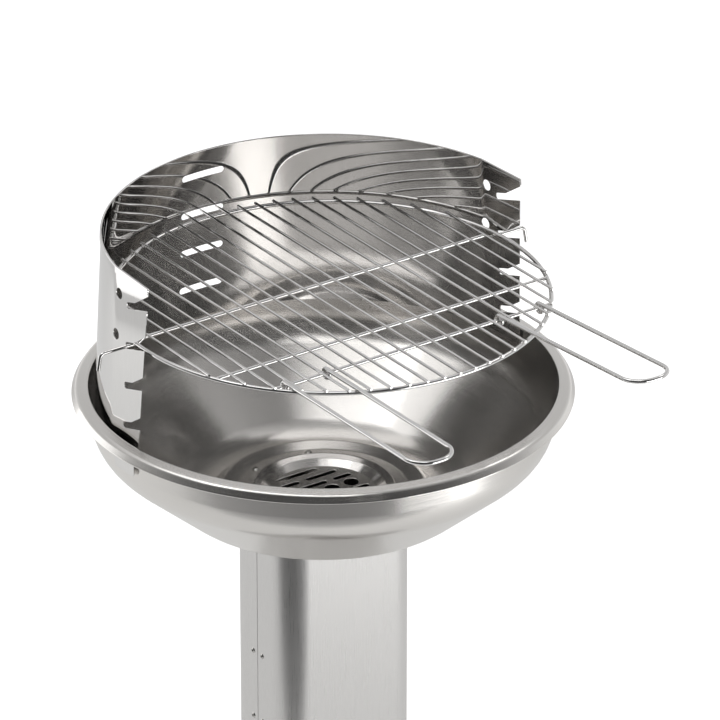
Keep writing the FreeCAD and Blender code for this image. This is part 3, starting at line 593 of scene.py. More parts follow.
class Shader:
    """A small builder for the nodes of one material or of the world."""

    def __init__(self, owner: bpy.types.Material | bpy.types.World,
                 output: str = "ShaderNodeOutputMaterial") -> None:
        """Starts with only an output node.

        Args:
            owner: The material or world whose nodes are built.
            output: The type of its output node.
        """
        owner.use_nodes = True
        self.tree = owner.node_tree
        self.tree.nodes.clear()
        self.out = self.node(output)

    def node(self, kind: str, inputs: dict | None = None, **settings: object) -> bpy.types.Node:
        """Adds a node.

        Args:
            kind: Blender's node type.
            inputs: Values or output sockets for its input sockets, by name or number.
            settings: Properties of the node itself.

        Returns:
            The node.
        """
        made = self.tree.nodes.new(kind)
        for key, value in settings.items():
            setattr(made, key, value)
        for key, value in (inputs or {}).items():
            if isinstance(value, Socket):
                self.tree.links.new(value, made.inputs[key])
            else:
                made.inputs[key].default_value = value
        return made

    def math(self, operation: str, *values: Socket | float) -> Socket:
        """A Math node's result for numbers or sockets."""
        return self.node("ShaderNodeMath", dict(enumerate(values)), operation=operation).outputs[0]

    def ramp(self, value: Socket, stops: Sequence[tuple[float, Sequence[float]]]) -> Socket:
        """Adds a colour ramp.

        Args:
            value: Where on the ramp.
            stops: Places and colours.

        Returns:
            The ramp's colour.
        """
        made = self.node("ShaderNodeValToRGB", {"Fac": value})
        elements = made.color_ramp.elements
        while len(elements) < len(stops):
            elements.new(0.5)
        for element, (place, colour) in zip(elements, stops):
            element.position = place
            element.color = (*colour, 1.0)
        return made.outputs["Color"]

    def span(self, value: Socket, low: float, high: float) -> Socket:
        """Maps noise, mostly within NOISE_RANGE, onto another range.

        Args:
            value: The noise.
            low: The new range's lower end.
            high: Its upper end.

        Returns:
            The mapped value.
        """
        inputs = {"Value": value, "To Min": low, "To Max": high}
        inputs |= {"From Min": NOISE_RANGE[0], "From Max": NOISE_RANGE[1]}
        return self.node("ShaderNodeMapRange", inputs).outputs["Result"]

    def noise(self, vector: Socket, scale: float, detail: float = 3.0) -> Socket:
        """Noise over a vector."""
        inputs = {"Vector": vector, "Scale": scale, "Detail": detail}
        return self.node("ShaderNodeTexNoise", inputs).outputs["Fac"]

    def place(self) -> Socket:
        """The point in the object's own frame."""
        return self.node("ShaderNodeTexCoord").outputs["Object"]

    def joined(self, x: Socket | float, y: Socket | float, z: Socket | float) -> Socket:
        """A vector of three numbers or sockets."""
        return self.node("ShaderNodeCombineXYZ", {0: x, 1: y, 2: z}).outputs[0]

    def bump(self, height: Socket, depth: float, below: Socket | None = None) -> Socket:
        """Adds surface relief.

        Args:
            height: The relief's height, from 0 to 1.
            depth: Its depth in metres.
            below: The normal it is laid on, if not the mesh's own.

        Returns:
            The normal.
        """
        inputs = {"Height": height, "Strength": 1.0, "Distance": depth}
        if below is not None:
            inputs["Normal"] = below
        return self.node("ShaderNodeBump", inputs).outputs[0]

    def surface(self, closure: bpy.types.Node) -> None:
        """Joins a closure to the output."""
        self.tree.links.new(closure.outputs[0], self.out.inputs["Surface"])

    def metal(self, colour: Socket, roughness: Socket, normal: Socket) -> bpy.types.Node:
        """Adds a bare metal surface and joins it to the output.

        Args:
            colour: Its colour.
            roughness: Its roughness.
            normal: Its shading normal.

        Returns:
            The surface's node.
        """
        inputs = {"Base Color": colour, "Metallic": 1.0, "Roughness": roughness, "Normal": normal}
        made = self.node("ShaderNodeBsdfPrincipled", inputs)
        self.surface(made)
        return made


class Grain(Enum):
    """Which way a steel finish was worked."""

    SPUN = "round the bowl's axis"
    UPRIGHT = "up and down"
    CROSS = "along X"
    NONE = "polished without a direction"


@dataclass(frozen=True)
class Steel:
    """A bare metal finish with grain, smears and slight colour variation.

    Attributes:
        dull: Share of the colour that is left where it is darkest.
        line_share: The grain's share in the colour's variation, patches having the rest.
        wall_share: How far height counts beside radius in spun grain.
        lap_share: How fast spun grain changes round the axis, beside a straight grain.
    """

    name: str
    colour: Triple
    roughness: Pair
    grain: Grain = Grain.NONE
    grain_scale: float = 900.0
    stretch: float = 60.0
    depth: float = 0.02e-3
    anisotropy: float = 0.0
    smear: float = 0.02
    wave: float = 0.0
    wave_scale: float = 6.0
    patch_scale: float = 7.0
    line_detail: float = 4.0
    dull: float = 0.94
    line_share: float = 0.6
    wall_share: float = 0.8
    lap_share: float = 0.2

    def grain_vector(self, shader: Shader) -> Socket:
        """Coordinates stretched along the working direction.

        Args:
            shader: The material being built.

        Returns:
            A vector that changes fast across the grain and slowly along it.
        """
        x, y, z = shader.node("ShaderNodeSeparateXYZ", {0: shader.place()}).outputs
        fast, slow = self.grain_scale, self.grain_scale / self.stretch
        if self.grain is Grain.SPUN:
            squares = [shader.math("MULTIPLY", part, part) for part in (x, y)]
            radius = shader.math("SQRT", shader.math("ADD", *squares))
            rise = shader.math("MULTIPLY", z, self.wall_share)
            across = shader.math("MULTIPLY", shader.math("ADD", radius, rise), fast)
            laps = [shader.math("MULTIPLY", shader.math("DIVIDE", part, radius), slow * self.lap_share)
                    for part in (x, y)]
            return shader.joined(across, *laps)
        scales = {Grain.UPRIGHT: (fast, fast, slow), Grain.CROSS: (slow, fast, fast)}
        parts = zip((x, y, z), scales.get(self.grain, (fast, fast, fast)))
        return shader.joined(*(shader.math("MULTIPLY", part, scale) for part, scale in parts))

    def material(self) -> bpy.types.Material:
        """Builds the material.

        Returns:
            The material.
        """
        made = bpy.data.materials.new(self.name)
        shader = Shader(made)
        lines = shader.noise(self.grain_vector(shader), 1.0, self.line_detail)
        place = shader.place()
        patches = shader.noise(place, self.patch_scale)
        rough = shader.math("ADD", shader.span(lines, *self.roughness),
                            shader.span(patches, -self.smear, self.smear))
        mixed = shader.math("ADD", shader.math("MULTIPLY", lines, self.line_share),
                            shader.math("MULTIPLY", patches, 1 - self.line_share))
        darkest = tuple(c * self.dull for c in self.colour)
        tint = shader.ramp(mixed, list(zip(NOISE_RANGE, (darkest, self.colour))))
        normal = shader.bump(lines, self.depth)
        if self.wave:
            normal = shader.bump(shader.noise(place, self.wave_scale, 1.0), self.wave, normal)
        steel = shader.metal(tint, rough, normal)
        if self.anisotropy:
            steel.inputs["Anisotropic"].default_value = self.anisotropy
            steel.inputs["Anisotropic Rotation"].default_value = 0.25 if self.grain is Grain.SPUN else 0.0
            round_z = shader.node("ShaderNodeTangent", direction_type="RADIAL", axis="Z")
            shader.tree.links.new(round_z.outputs[0], steel.inputs["Tangent"])
        return made


@dataclass(frozen=True)
class Zinc:
    """A zinc coating with a faint spangle, its darkest crystals at the share dull of its colour."""

    name: str
    colour: Triple
    spangle: float = 140.0
    dull: float = 0.78
    roughness: Pair = (0.34, 0.5)
    grain_scale: float = 1400.0
    depth: float = 0.02e-3

    def material(self) -> bpy.types.Material:
        """Builds the material.

        Returns:
            The material.
        """
        made = bpy.data.materials.new(self.name)
        shader = Shader(made)
        place = shader.place()
        cells = shader.node("ShaderNodeTexVoronoi", {"Vector": place, "Scale": self.spangle}).outputs["Color"]
        grey = shader.node("ShaderNodeSeparateColor", {0: cells}).outputs[0]
        tint = shader.ramp(grey, [(0.0, tuple(c * self.dull for c in self.colour)), (1.0, self.colour)])
        inputs = {"Value": grey, "To Min": self.roughness[0], "To Max": self.roughness[1]}
        rough = shader.node("ShaderNodeMapRange", inputs).outputs["Result"]
        shader.metal(tint, rough, shader.bump(shader.noise(place, self.grain_scale), self.depth))
        return made


@dataclass(frozen=True)
class Finish:
    """A steel finish together with the record's material slot it belongs to."""

    slot: str
    look: Steel | Zinc

    def dress(self, piece: bpy.types.Object) -> None:
        """Gives a piece this finish, building the material on first use.

        Args:
            piece: The piece.
        """
        material = bpy.data.materials.get(self.look.name) or self.look.material()
        piece.data.materials.clear()
        piece.data.materials.append(material)


BOWL_STEEL = Finish("polished_steel", Steel(
    "spun_bowl_steel", (0.78, 0.76, 0.735), (0.18, 0.24), Grain.SPUN,
    grain_scale=1500.0, stretch=90.0, depth=0.003e-3, anisotropy=0.6))
COLLAR_STEEL = Finish("polished_steel", Steel(
    "spun_collar_steel", (0.72, 0.70, 0.68), (0.12, 0.19), Grain.SPUN,
    grain_scale=2200.0, stretch=90.0, depth=0.004e-3, anisotropy=0.2))
DISC_STEEL = Finish("polished_steel", Steel(
    "stamped_disc_steel", (0.68, 0.67, 0.65), (0.14, 0.22), Grain.CROSS, grain_scale=1800.0, depth=0.01e-3))
SHIELD_STEEL = Finish("mirror_steel", Steel(
    "mirror_sheet_steel", (0.76, 0.75, 0.74), (0.022, 0.04), Grain.UPRIGHT,
    depth=0.0003e-3, smear=0.006, wave=0.06e-3))
COLUMN_STEEL = Finish("satin_steel", Steel(
    "brushed_column_steel", (0.72, 0.71, 0.70), (0.26, 0.34), Grain.UPRIGHT,
    grain_scale=2600.0, stretch=120.0, depth=0.006e-3, anisotropy=0.5))
WIRE_CHROME = Finish("chromed_wire", Steel(
    "bright_wire_chrome", (0.80, 0.79, 0.78), (0.07, 0.13), grain_scale=700.0, depth=0.004e-3))
SCREW_STEEL = Finish("fasteners", Steel(
    "turned_screw_steel", (0.50, 0.49, 0.47), (0.09, 0.15), grain_scale=1500.0))
BASE_STEEL = Finish("base_steel", Steel(
    "brushed_base_steel", (0.62, 0.61, 0.60), (0.3, 0.45), Grain.CROSS, grain_scale=1800.0, stretch=50.0))
ZINC = Finish("galvanised_steel", Zinc("zinc_coated_sheet", (0.60, 0.61, 0.62)))


def add_piece(draft: Draft, name: str, body: Body, finish: Finish, *nodes: str) -> None:
    """Builds a piece, dresses it and sets it on its body.

    Args:
        draft: The finished drawing.
        name: The piece's name.
        body: The body it rides on.
        finish: Its finish and material slot.
        nodes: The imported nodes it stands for.
    """
    piece = draft.build(name)
    finish.dress(piece)
    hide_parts(*nodes)
    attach(piece, body.value)
    LOG.info("%s: %d faces on %s", name, len(draft.faces), body.value)


def keep_node(node: str, finish: Finish) -> None:
    """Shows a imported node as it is, in a finish."""
    finish.dress(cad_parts[node])
    LOG.info("%s: packed node kept", node)


# The grill


@dataclass
class Bowl:
    """The pressed bowl with its rolled rim, floor step and three slots for the windshield's tabs.

    Attributes:
        corners: The upper face's corners as (R, height from the skirt's edge), from the hole in the
            floor to the skirt's edge.
        radii: Its bend radius at each inner corner.
    """

    skirt_z: float = SKIRT_Z
    thickness: float = 0.0012
    tab_width: float = 0.039
    slot_gap: float = 0.0012
    slot_z: tuple[float, float] = (-0.0102, -0.0076)
    slot_r: float = 0.2646
    tab_y: float = 0.001
    count: int = 360
    corners: tuple[Pair, ...] = (
        (0.074, -0.1272), (0.099, -0.1272), (0.118, -0.123), (0.1305, -0.1383), (0.1576, -0.1383),
        (0.2616, -0.0494), (0.2652, 0.0113), (0.2794, 0.0094), (0.2854, 0.0), (0.2818, -0.0006))
    radii: tuple[float, ...] = (0.012, 0.007, 0.007, 0.058, 0.052, 0.0026, 0.007, 0.0013)

    def slots(self) -> list[Pair]:
        """Works out where the slots are round the wall.

        Returns:
            First and last angle of the slots at the right, at the back and at the left.
        """
        half = (self.tab_width / 2 + self.slot_gap) / self.slot_r
        off = math.asin(self.tab_y / self.slot_r)
        return [(middle - half, middle + half) for middle in (off, math.pi / 2, math.pi - off)]

    def turns(self) -> list[float]:
        """Spaces the mesh round the axis.

        Returns:
            The mesh's angles, with one at each end of each slot.
        """
        angles = around(self.count)
        for ends in self.slots():
            for end in ends:
                nearest = round(end * self.count / FULL_TURN) % self.count
                angles[nearest] = end % FULL_TURN
        return angles

    def in_slot(self, z: float, angle: float) -> bool:
        """Tells whether a place on the wall lies in a slot.

        Args:
            z: Its height.
            angle: Its angle round the axis.

        Returns:
            True inside a slot.
        """
        low, high = (self.skirt_z + z for z in self.slot_z)
        if not low < z < high:
            return False
        return any(a < angle - lap < b for a, b in self.slots() for lap in (0.0, FULL_TURN))

    def add_slot_walls(self, draft: Draft, upper: list[list[int]], lower: list[list[int]]) -> None:
        """Closes the sheet's cut edges in the slots.

        Args:
            draft: The piece being drawn.
            upper: Point numbers of the upper skin at the slots' lower and upper edge, by step.
            lower: The same of the lower skin.
        """
        angles = self.turns()
        middle_z = self.skirt_z + sum(self.slot_z) / 2
        for k, angle in enumerate(angles):
            after = (k + 1) % self.count
            step = (angles[after] - angle) % FULL_TURN
            if not self.in_slot(middle_z, angle + step / 2):
                continue
            for edge, towards in ((0, UP), (1, -UP)):
                quad = (upper[edge][k], upper[edge][after], lower[edge][after], lower[edge][k])
                draft.flat_towards(quad, towards)
            for end, here, back in ((k, angle - step / 2, 1), (after, angle + step * 1.5, -1)):
                if not self.in_slot(middle_z, here):
                    along = Vector((-math.sin(angle), math.cos(angle), 0.0)) * back
                    draft.flat_towards((upper[0][end], upper[1][end], lower[1][end], lower[0][end]), along)

    def build(self) -> None:
        """Draws the bowl."""
        heights = [self.skirt_z + z for z in self.slot_z]
        lifted = [crossing([(at + UP * self.skirt_z, along) for at, along in strip], heights)
                  for strip in sheet_section(self.corners, self.radii, self.thickness)]
        draft = Draft()
        grid = turned(draft, lifted, self.turns(), self.in_slot)
        edges = []
        for number in (0, 2):
            strip = lifted[number]
            rows = [min(range(len(strip)), key=lambda i: abs(strip[i][0].z - z)) for z in heights]
            edges.append([grid[number][row] for row in rows])
        self.add_slot_walls(draft, *edges)
        add_piece(draft, "spun_bowl", Body.STAND, BOWL_STEEL, "bowl")


@dataclass
class VentCollar:
    """The beaded ring round the ash hole, with a sunk ledge for the charcoal grate."""

    floor_z: float = 0.6168
    ledge_z: float = 0.612
    thickness: float = 0.001
    ledge_r: tuple[float, float] = (0.053, 0.063)
    neck_r: float = 0.072
    bead_top_r: tuple[float, float] = (0.0792, 0.0816)
    bead_foot_r: float = 0.083
    outer_r: float = 0.085
    bead_h: float = 0.0036
    neck_rise: float = 0.0012
    bends: tuple[float, ...] = (0.0016, 0.004, 0.0016, 0.0013, 0.0002)
    count: int = 180

    def build(self) -> None:
        """Draws the collar."""
        floor = self.floor_z + self.thickness
        bead = floor + self.bead_h
        corners = [*((r, self.ledge_z) for r in self.ledge_r), (self.neck_r, floor + self.neck_rise),
                   *((r, bead) for r in self.bead_top_r), (self.bead_foot_r, floor), (self.outer_r, floor)]
        draft = Draft()
        turned(draft, sheet_section(corners, self.bends, self.thickness), around(self.count))
        add_piece(draft, "beaded_vent_collar", Body.STAND, COLLAR_STEEL, "vent_collar")


@dataclass
class CharcoalDisc:
    """The slotted disc that holds the charcoal over the ash hole.

    Attributes:
        rows: Y of each row of slots, with the ends in X of each slot.
    """

    radius: float = 0.061
    thickness: float = 0.0025
    foot_z: float = 0.6121
    slot_width: float = 0.0065
    hole_r: float = 0.00875
    edge_round: float = 0.001
    holes_x: tuple[float, ...] = (0.012, 0.0385)
    rows: tuple[tuple[float, tuple[Pair, ...]], ...] = (
        (0.049, ((-0.031, 0.024),)),
        (0.033, ((-0.037, -0.011), (-0.001, 0.04))),
        (0.017, ((-0.05, -0.029), (-0.02, 0.016), (0.026, 0.049))),
        (0.0, ((-0.052, -0.022),)),
        (-0.0165, ((-0.05, -0.024), (-0.014, 0.019), (0.029, 0.051))),
        (-0.033, ((-0.04, 0.001), (0.011, 0.037))),
        (-0.049, ((-0.024, 0.031),)))
    outline_sides: int = 96
    hole_sides: int = 32

    def build(self) -> None:
        """Draws the disc."""
        outline = circle(0.0, 0.0, self.radius, self.outline_sides)[::-1]
        holes = [slot(x0, x1, y, self.slot_width) for y, spans in self.rows for x0, x1 in spans]
        holes += [circle(x, 0.0, self.hole_r, self.hole_sides) for x in self.holes_x]
        draft = Draft()
        sheet(draft, [outline, *holes], level(self.foot_z), self.thickness, self.edge_round)
        add_piece(draft, "slotted_charcoal_disc", Body.DISC, DISC_STEEL, "charcoal_grate")


@dataclass
class Windshield:
    """The bright sheet round the back of the bowl, with grate notches, slots, spit holes, hem and tabs."""

    skirt_z: float = SKIRT_Z
    thickness: float = 0.001
    top: float = 0.2055
    bottom: float = -0.010
    centre_y: float = -0.0108
    radius: float = 0.2543
    radius_at: float = 0.172
    cone: float = 0.05
    bend_y: float = 0.040
    front_y: float = -0.0295
    splay: float = 0.05
    slant: float = 0.055
    belly: tuple[float, float] = (-0.042, 0.52)
    hem_r: float = 0.00112
    hem_leg: float = 0.0069
    bend_blend: float = 0.005
    tab_width: float = 0.039
    tab_y: float = 0.001
    tab_out: float = 0.2678
    tab_drop: float = 0.018
    pitch: float = 0.0482
    levels: int = 4
    notch_slope: float = math.radians(18.0)
    notch_flare: float = math.radians(34.0)
    notch_height: float = 0.008
    notch_parallel: float = 0.017
    notch_corner: float = 0.0024
    slot_size: tuple[float, float] = (0.057, 0.008)
    slot_top: float = 0.1307
    hole_r: float = 0.0065
    hole_sides: int = 28
    holes: tuple[Pair, ...] = ((0.0325, 0.175), (0.037, 0.1245))
    rod_y: float = 0.0128
    rod_r: float = 0.00225
    rod_z: float = 0.11895
    eye_gap: float = 0.0003
    lip_corner: float = 0.0008
    roof_corner: float = 0.001
    foot_corner: float = 0.002
    hem_corner: float = 0.0006
    tab_root: float = 0.004
    tab_bend: float = 0.0016
    tab_corner: float = 0.005
    tab_edge: float = 0.0002
    mesh_u: float = 0.006
    mesh_v: float = 0.009
    mesh_bend: float = 0.0025
    mesh_front: float = 0.97
    mesh_roll: float = 0.39
    mesh_margins: Pair = (0.008, 0.010)

    def plan_radius(self, z: float) -> float:
        """Radius of the inner face at a height."""
        return self.radius + self.cone * (self.radius_at - z)

    def arc_half(self) -> float:
        """Half the length of the curved stretch at the grate's height."""
        return self.radius * math.acos((self.bend_y - self.centre_y) / self.radius)

    def place(self, u: float, v: float) -> tuple[Vector, Vector]:
        """Point of the inner face and the normal outwards.

        Args:
            u: Distance round the sheet from the middle of the back.
            v: Height, going on over the hem.

        Returns:
            The point and the unit normal through the sheet.
        """
        over = max(0.0, v - (self.top - self.hem_r))
        turn = min(math.pi, over / self.hem_r)
        down = max(0.0, over - math.pi * self.hem_r)
        z = v - over + self.hem_r * math.sin(turn) - down
        out = self.hem_r * (1 - math.cos(turn))
        r = self.plan_radius(z)
        half = self.arc_half()
        side = 1.0 if u >= 0 else -1.0
        bend = math.acos((self.bend_y - self.centre_y) / r)
        run = abs(u) - half
        if run <= 0:
            a = abs(u) / half * bend
            at = Vector((r * math.sin(a), self.centre_y + r * math.cos(a), z))
        else:
            a = bend
            at = Vector((r * math.sin(bend) + self.splay * run, self.bend_y - run, z))
        flat = math.pi / 2 - math.atan(self.splay)
        share = min(1.0, max(0.0, (run + self.bend_blend) / (2 * self.bend_blend)))
        a += (flat - a) * share * share * (3 - 2 * share)
        normal = Vector((math.sin(a), math.cos(a), 0.0))
        at += normal * out
        at.x *= side
        normal.x *= side
        lean = normal + UP * (self.belly[0] + self.belly[1] * z)
        through = (lean.normalized() * math.cos(turn) - UP * math.sin(turn)).normalized()
        return at + UP * self.skirt_z, through

    def front(self, z: float) -> float:
        """Y of the sheet's front edge at a height."""
        return self.front_y + self.slant * (self.top - z)

    def notch(self, index: int) -> list[tuple[float, float, float]]:
        """Lays one notch.

        Args:
            index: The notch's number, from the top.

        Returns:
            Its corners as (y, z, radius), from its lower lip to its upper one.
        """
        y_in = self.rod_y + self.rod_r + self.eye_gap
        rise, flare = math.tan(self.notch_slope), math.tan(self.notch_flare)
        seat = self.rod_z + (1 - index) * self.pitch
        low = seat - (self.rod_r + self.eye_gap) / math.cos(self.notch_slope) - (y_in - self.rod_y) * rise
        high = low + self.notch_height
        y_par, z_par = y_in - self.notch_parallel, high + self.notch_parallel * rise

        def lip(y0: float, z0: float, slope: float) -> Pair:
            """Where an edge through (y0, z0) with a slope meets the sheet's front."""
            z = (z0 + slope * (y0 - self.front_y - self.slant * self.top)) / (1 - slope * self.slant)
            return self.front(z), z
        lower, upper = lip(y_in, low, rise), lip(y_par, z_par, flare)
        return [(*lower, self.lip_corner), (y_in, low, self.notch_corner), (y_in, high, self.notch_corner),
                (y_par, z_par, self.roof_corner), (*upper, self.lip_corner)]

    def outline(self) -> Loop:
        """Lays the flat sheet's edge.

        Returns:
            The outer loop.
        """
        half = self.arc_half()
        hem_end = self.top - self.hem_r + math.pi * self.hem_r + self.hem_leg
        side = [(self.front(self.bottom), self.bottom, self.foot_corner)]
        for index in reversed(range(self.levels)):
            side += self.notch(index)
        side.append((self.front(self.top), hem_end, self.hem_corner))
        right = [(half + self.bend_y - y, z, r) for y, z, r in side]
        corners = right + [(-u, z, r) for u, z, r in reversed(right)]
        return loop_of([(u, z) for u, z, _ in corners], [r for _, _, r in corners])

    def openings(self) -> list[Loop]:
        """Lays the sheet's closed openings.

        Returns:
            The loops of the back slots and the spit holes.
        """
        half = self.arc_half()
        width, height = self.slot_size
        loops = [slot(-width / 2, width / 2, self.slot_top - height / 2 + (1 - k) * self.pitch, height)
                 for k in range(self.levels)]
        for y, z in self.holes:
            for side in SIDES:
                loops.append(circle(side * (half + self.bend_y - y), z, self.hole_r, self.hole_sides))
        return loops

    def add_tab(self, draft: Draft, foot: Vector, out: Vector, reach: float) -> None:
        """Draws one tab that hooks through the bowl's wall.

        Args:
            draft: The piece being drawn.
            foot: Middle of the sheet's lower edge, on its inner face.
            out: Unit vector outwards.
            reach: From the inner face to the tab's outer face.
        """
        along = UP.cross(out)
        leg = reach - self.thickness
        corners = [Vector((x, 0, z)) for x, z in
                   ((0, self.tab_root), (0, 0), (leg, 0), (leg, -self.tab_drop))]
        path = rounded(corners, [self.tab_bend] * 2)
        lengths = [0.0]
        for (a, _), (b, _) in zip(path, path[1:]):
            lengths.append(lengths[-1] + (b - a).length)

        def place(u: float, v: float) -> tuple[Vector, Vector]:
            """Places the tab's strip.

            Args:
                u: Distance from its middle line.
                v: Distance along its path.

            Returns:
                The point and the unit normal through the strip.
            """
            k = max(i for i in range(len(path) - 1) if lengths[i] <= max(v, 0.0) + SAME_LINE)
            (a, ta), (b, tb) = path[k], path[k + 1]
            share = (v - lengths[k]) / max(SAME_LINE, lengths[k + 1] - lengths[k])
            at, run = a.lerp(b, share), ta.lerp(tb, min(1.0, max(0.0, share))).normalized()
            normal = out * -run.z + UP * run.x
            return foot + out * at.x + UP * at.z + along * u, normal
        half = self.tab_width / 2
        loop = loop_of([(-half, 0.0), (half, 0.0), (half, lengths[-1]), (-half, lengths[-1])],
                       [0.0, 0.0, self.tab_corner, self.tab_corner])
        loop = [(-u, v) for u, v in reversed(loop)]
        us = [-half / 2, 0.0, half / 2]
        sheet(draft, [loop], place, self.thickness, self.tab_edge, us, lengths[1:-1])

    def mesh_lines(self) -> tuple[list[float], list[float]]:
        """Lays the lines that the sheet's mesh follows.

        Returns:
            The lines of constant u, then those of constant v.
        """
        half, fold = self.arc_half(), self.top - self.hem_r
        length = half + self.bend_y - self.front_y
        us = spaced(-half - self.bend_blend, half + self.bend_blend, self.mesh_u)
        us += [-half, half] + [side * (half + off * self.mesh_bend) for side in SIDES for off in SIDES]
        us += [-length * self.mesh_front, length * self.mesh_front]
        vs = spaced(self.bottom + self.mesh_margins[0], self.top - self.mesh_margins[1], self.mesh_v)
        vs += spaced(fold, fold + math.pi * self.hem_r, self.hem_r * self.mesh_roll)
        return sorted(set(us)), sorted(set(vs))

    def build(self) -> None:
        """Draws the windshield."""
        draft = Draft()
        loops = [self.outline(), *self.openings()]
        sheet(draft, loops, self.place, self.thickness, SHEET_EDGE, *self.mesh_lines())
        z = self.skirt_z + self.bottom + self.thickness
        r = self.plan_radius(self.bottom)
        back = self.centre_y + r
        self.add_tab(draft, Vector((0, back, z)), Vector((0, 1, 0)), self.tab_out - back)
        bend = math.acos((self.bend_y - self.centre_y) / r)
        x = r * math.sin(bend) + self.splay * (self.bend_y - self.tab_y)
        for side in SIDES:
            self.add_tab(draft, Vector((side * x, self.tab_y, z)), Vector((side, 0, 0)), self.tab_out - x)
        add_piece(draft, "mirror_windshield", Body.STAND, SHIELD_STEEL,
                  "windshield_back", "windshield_side_left", "windshield_side_right")


@dataclass
class CookingGrate:
    """The welded wire grate: bars across a ring, two cross wires, and the rod that hangs in the notches."""

    skirt_z: float = SKIRT_Z
    wire_r: float = 0.0016
    wire_z: float = 0.1275
    wires: int = 23
    pitch: float = 0.0208
    ring_r: float = 0.2475
    ring_wire_r: float = 0.0025
    ring_y: float = -0.015
    cross_r: float = 0.00225
    weld: float = 0.0003
    rod_y: float = 0.0128
    cross_ys: tuple[float, ...] = (-0.1189, -0.1763)
    wire_end: float = 0.0012
    long_wire_y: float = 0.2482
    rod_half: float = 0.2885
    rod_drop: float = 0.019
    rod_splay: float = 0.0035
    rod_bend: float = 0.006
    joggle: Pair = (0.240, 0.232)
    joggle_r: float = 0.004
    seed: int = 7
    bead: Triple = (0.0024, 0.0023, 0.0007)
    bead_sizes: Pair = (0.9, 1.15)
    bead_rise: float = 0.0002
    bead_clear: float = 0.004
    bead_in: float = 0.001
    cross_short: float = 0.0005
    ring_steps: int = 240
    thick_sides: int = 16
    butt_turn: float = 0.09
    butt_size: Pair = (0.0012, 0.0029)

    def heights(self) -> tuple[float, float, float, float]:
        """Stacks the welded wires.

        Returns:
            Heights of the bars, ring, cross wires and rod ends.
        """
        bars = self.skirt_z + self.wire_z
        ring = bars - self.wire_r - self.ring_wire_r + self.weld
        cross = bars - self.wire_r - self.cross_r + self.weld
        rod = ring - self.ring_wire_r - self.cross_r + self.weld
        return bars, ring, cross, rod

    def bar_span(self, index: int) -> tuple[float, float, float]:
        """Works out where a bar runs.

        Args:
            index: The bar's number, from the left.

        Returns:
            Its X, and its ends in Y at the front and at the back.
        """
        middle = (self.wires - 1) // 2
        x = (index - middle) * self.pitch
        half = math.sqrt(self.ring_r ** 2 - x ** 2) + self.ring_wire_r + self.wire_end
        back = self.long_wire_y if abs(index - middle) <= 1 else self.ring_y + half
        return x, self.ring_y - half, back

    def weld_at(self, draft: Draft, at: Vector, along: Vector, chance: random.Random) -> None:
        """Draws one weld bead, a little different each time.

        Args:
            draft: The piece being drawn.
            at: The bead's middle.
            along: Unit direction of the lower wire.
            chance: Source of the small differences.
        """
        size = chance.uniform(*self.bead_sizes)
        axes = (along, UP.cross(along), UP)
        blob(draft, at, *(axis * half * size for axis, half in zip(axes, self.bead)))

    def build(self) -> None:
        """Draws the grate's four nodes, and the welds with the bars."""
        bars_z, ring_z, cross_z, rod_z = self.heights()
        chance = random.Random(self.seed)
        bead_z = bars_z - self.wire_r + self.bead_rise
        bars = Draft()
        for index in range(self.wires):
            x, front, back = self.bar_span(index)
            tube(bars, rounded([Vector((x, front, bars_z)), Vector((x, back, bars_z))], []), self.wire_r)
            reach = math.sqrt(self.ring_r ** 2 - x ** 2)
            for side in SIDES:
                along = Vector((-side * reach, x, 0.0)).normalized()
                self.weld_at(bars, Vector((x, self.ring_y + side * reach, bead_z)), along, chance)
            for y in (*self.cross_ys, self.rod_y):
                if abs(y - self.ring_y) < reach - self.bead_clear:
                    self.weld_at(bars, Vector((x, y, bead_z)), SIDEWAYS, chance)
        add_piece(bars, "grate_bars_welded", Body.GRATE, WIRE_CHROME, "grate_bars")
        ring = Draft()
        path = ring_path(Vector((0, self.ring_y, ring_z)), self.ring_r, self.ring_steps)
        tube(ring, path, self.ring_wire_r, self.thick_sides, closed=True)
        x, y = self.ring_r * math.sin(self.butt_turn), self.ring_r * math.cos(self.butt_turn)
        along, across = self.butt_size
        blob(ring, Vector((x, self.ring_y + y, ring_z)),
             Vector((along, 0, 0)), Vector((0, across, 0)), Vector((0, 0, across)))
        add_piece(ring, "grate_ring_wire", Body.GRATE, WIRE_CHROME, "grate_ring")
        cross = Draft()
        for y in self.cross_ys:
            half = math.sqrt(self.ring_r ** 2 - (y - self.ring_y) ** 2) - self.cross_short
            tube(cross, rounded([Vector((-half, y, cross_z)), Vector((half, y, cross_z))], []), self.cross_r)
            for side in SIDES:
                self.weld_at(cross, Vector((side * (half - self.bead_in), y, cross_z)), SIDEWAYS, chance)
        add_piece(cross, "grate_cross_wires_welded", Body.GRATE, WIRE_CHROME, "grate_cross_wires")
        rod = Draft()
        half_rod = [(self.rod_half + self.rod_splay, rod_z - self.rod_drop), (self.rod_half, rod_z),
                    (self.joggle[0], rod_z), (self.joggle[1], cross_z)]
        corners = [Vector((-x, self.rod_y, z)) for x, z in half_rod]
        corners += [Vector((x, self.rod_y, z)) for x, z in reversed(half_rod)]
        radii = [self.rod_bend] + [self.joggle_r] * 4 + [self.rod_bend]
        tube(rod, rounded(corners, radii), self.cross_r, self.thick_sides)
        add_piece(rod, "grate_hanger_rod_bent", Body.GRATE, WIRE_CHROME, "grate_hanger_rod")


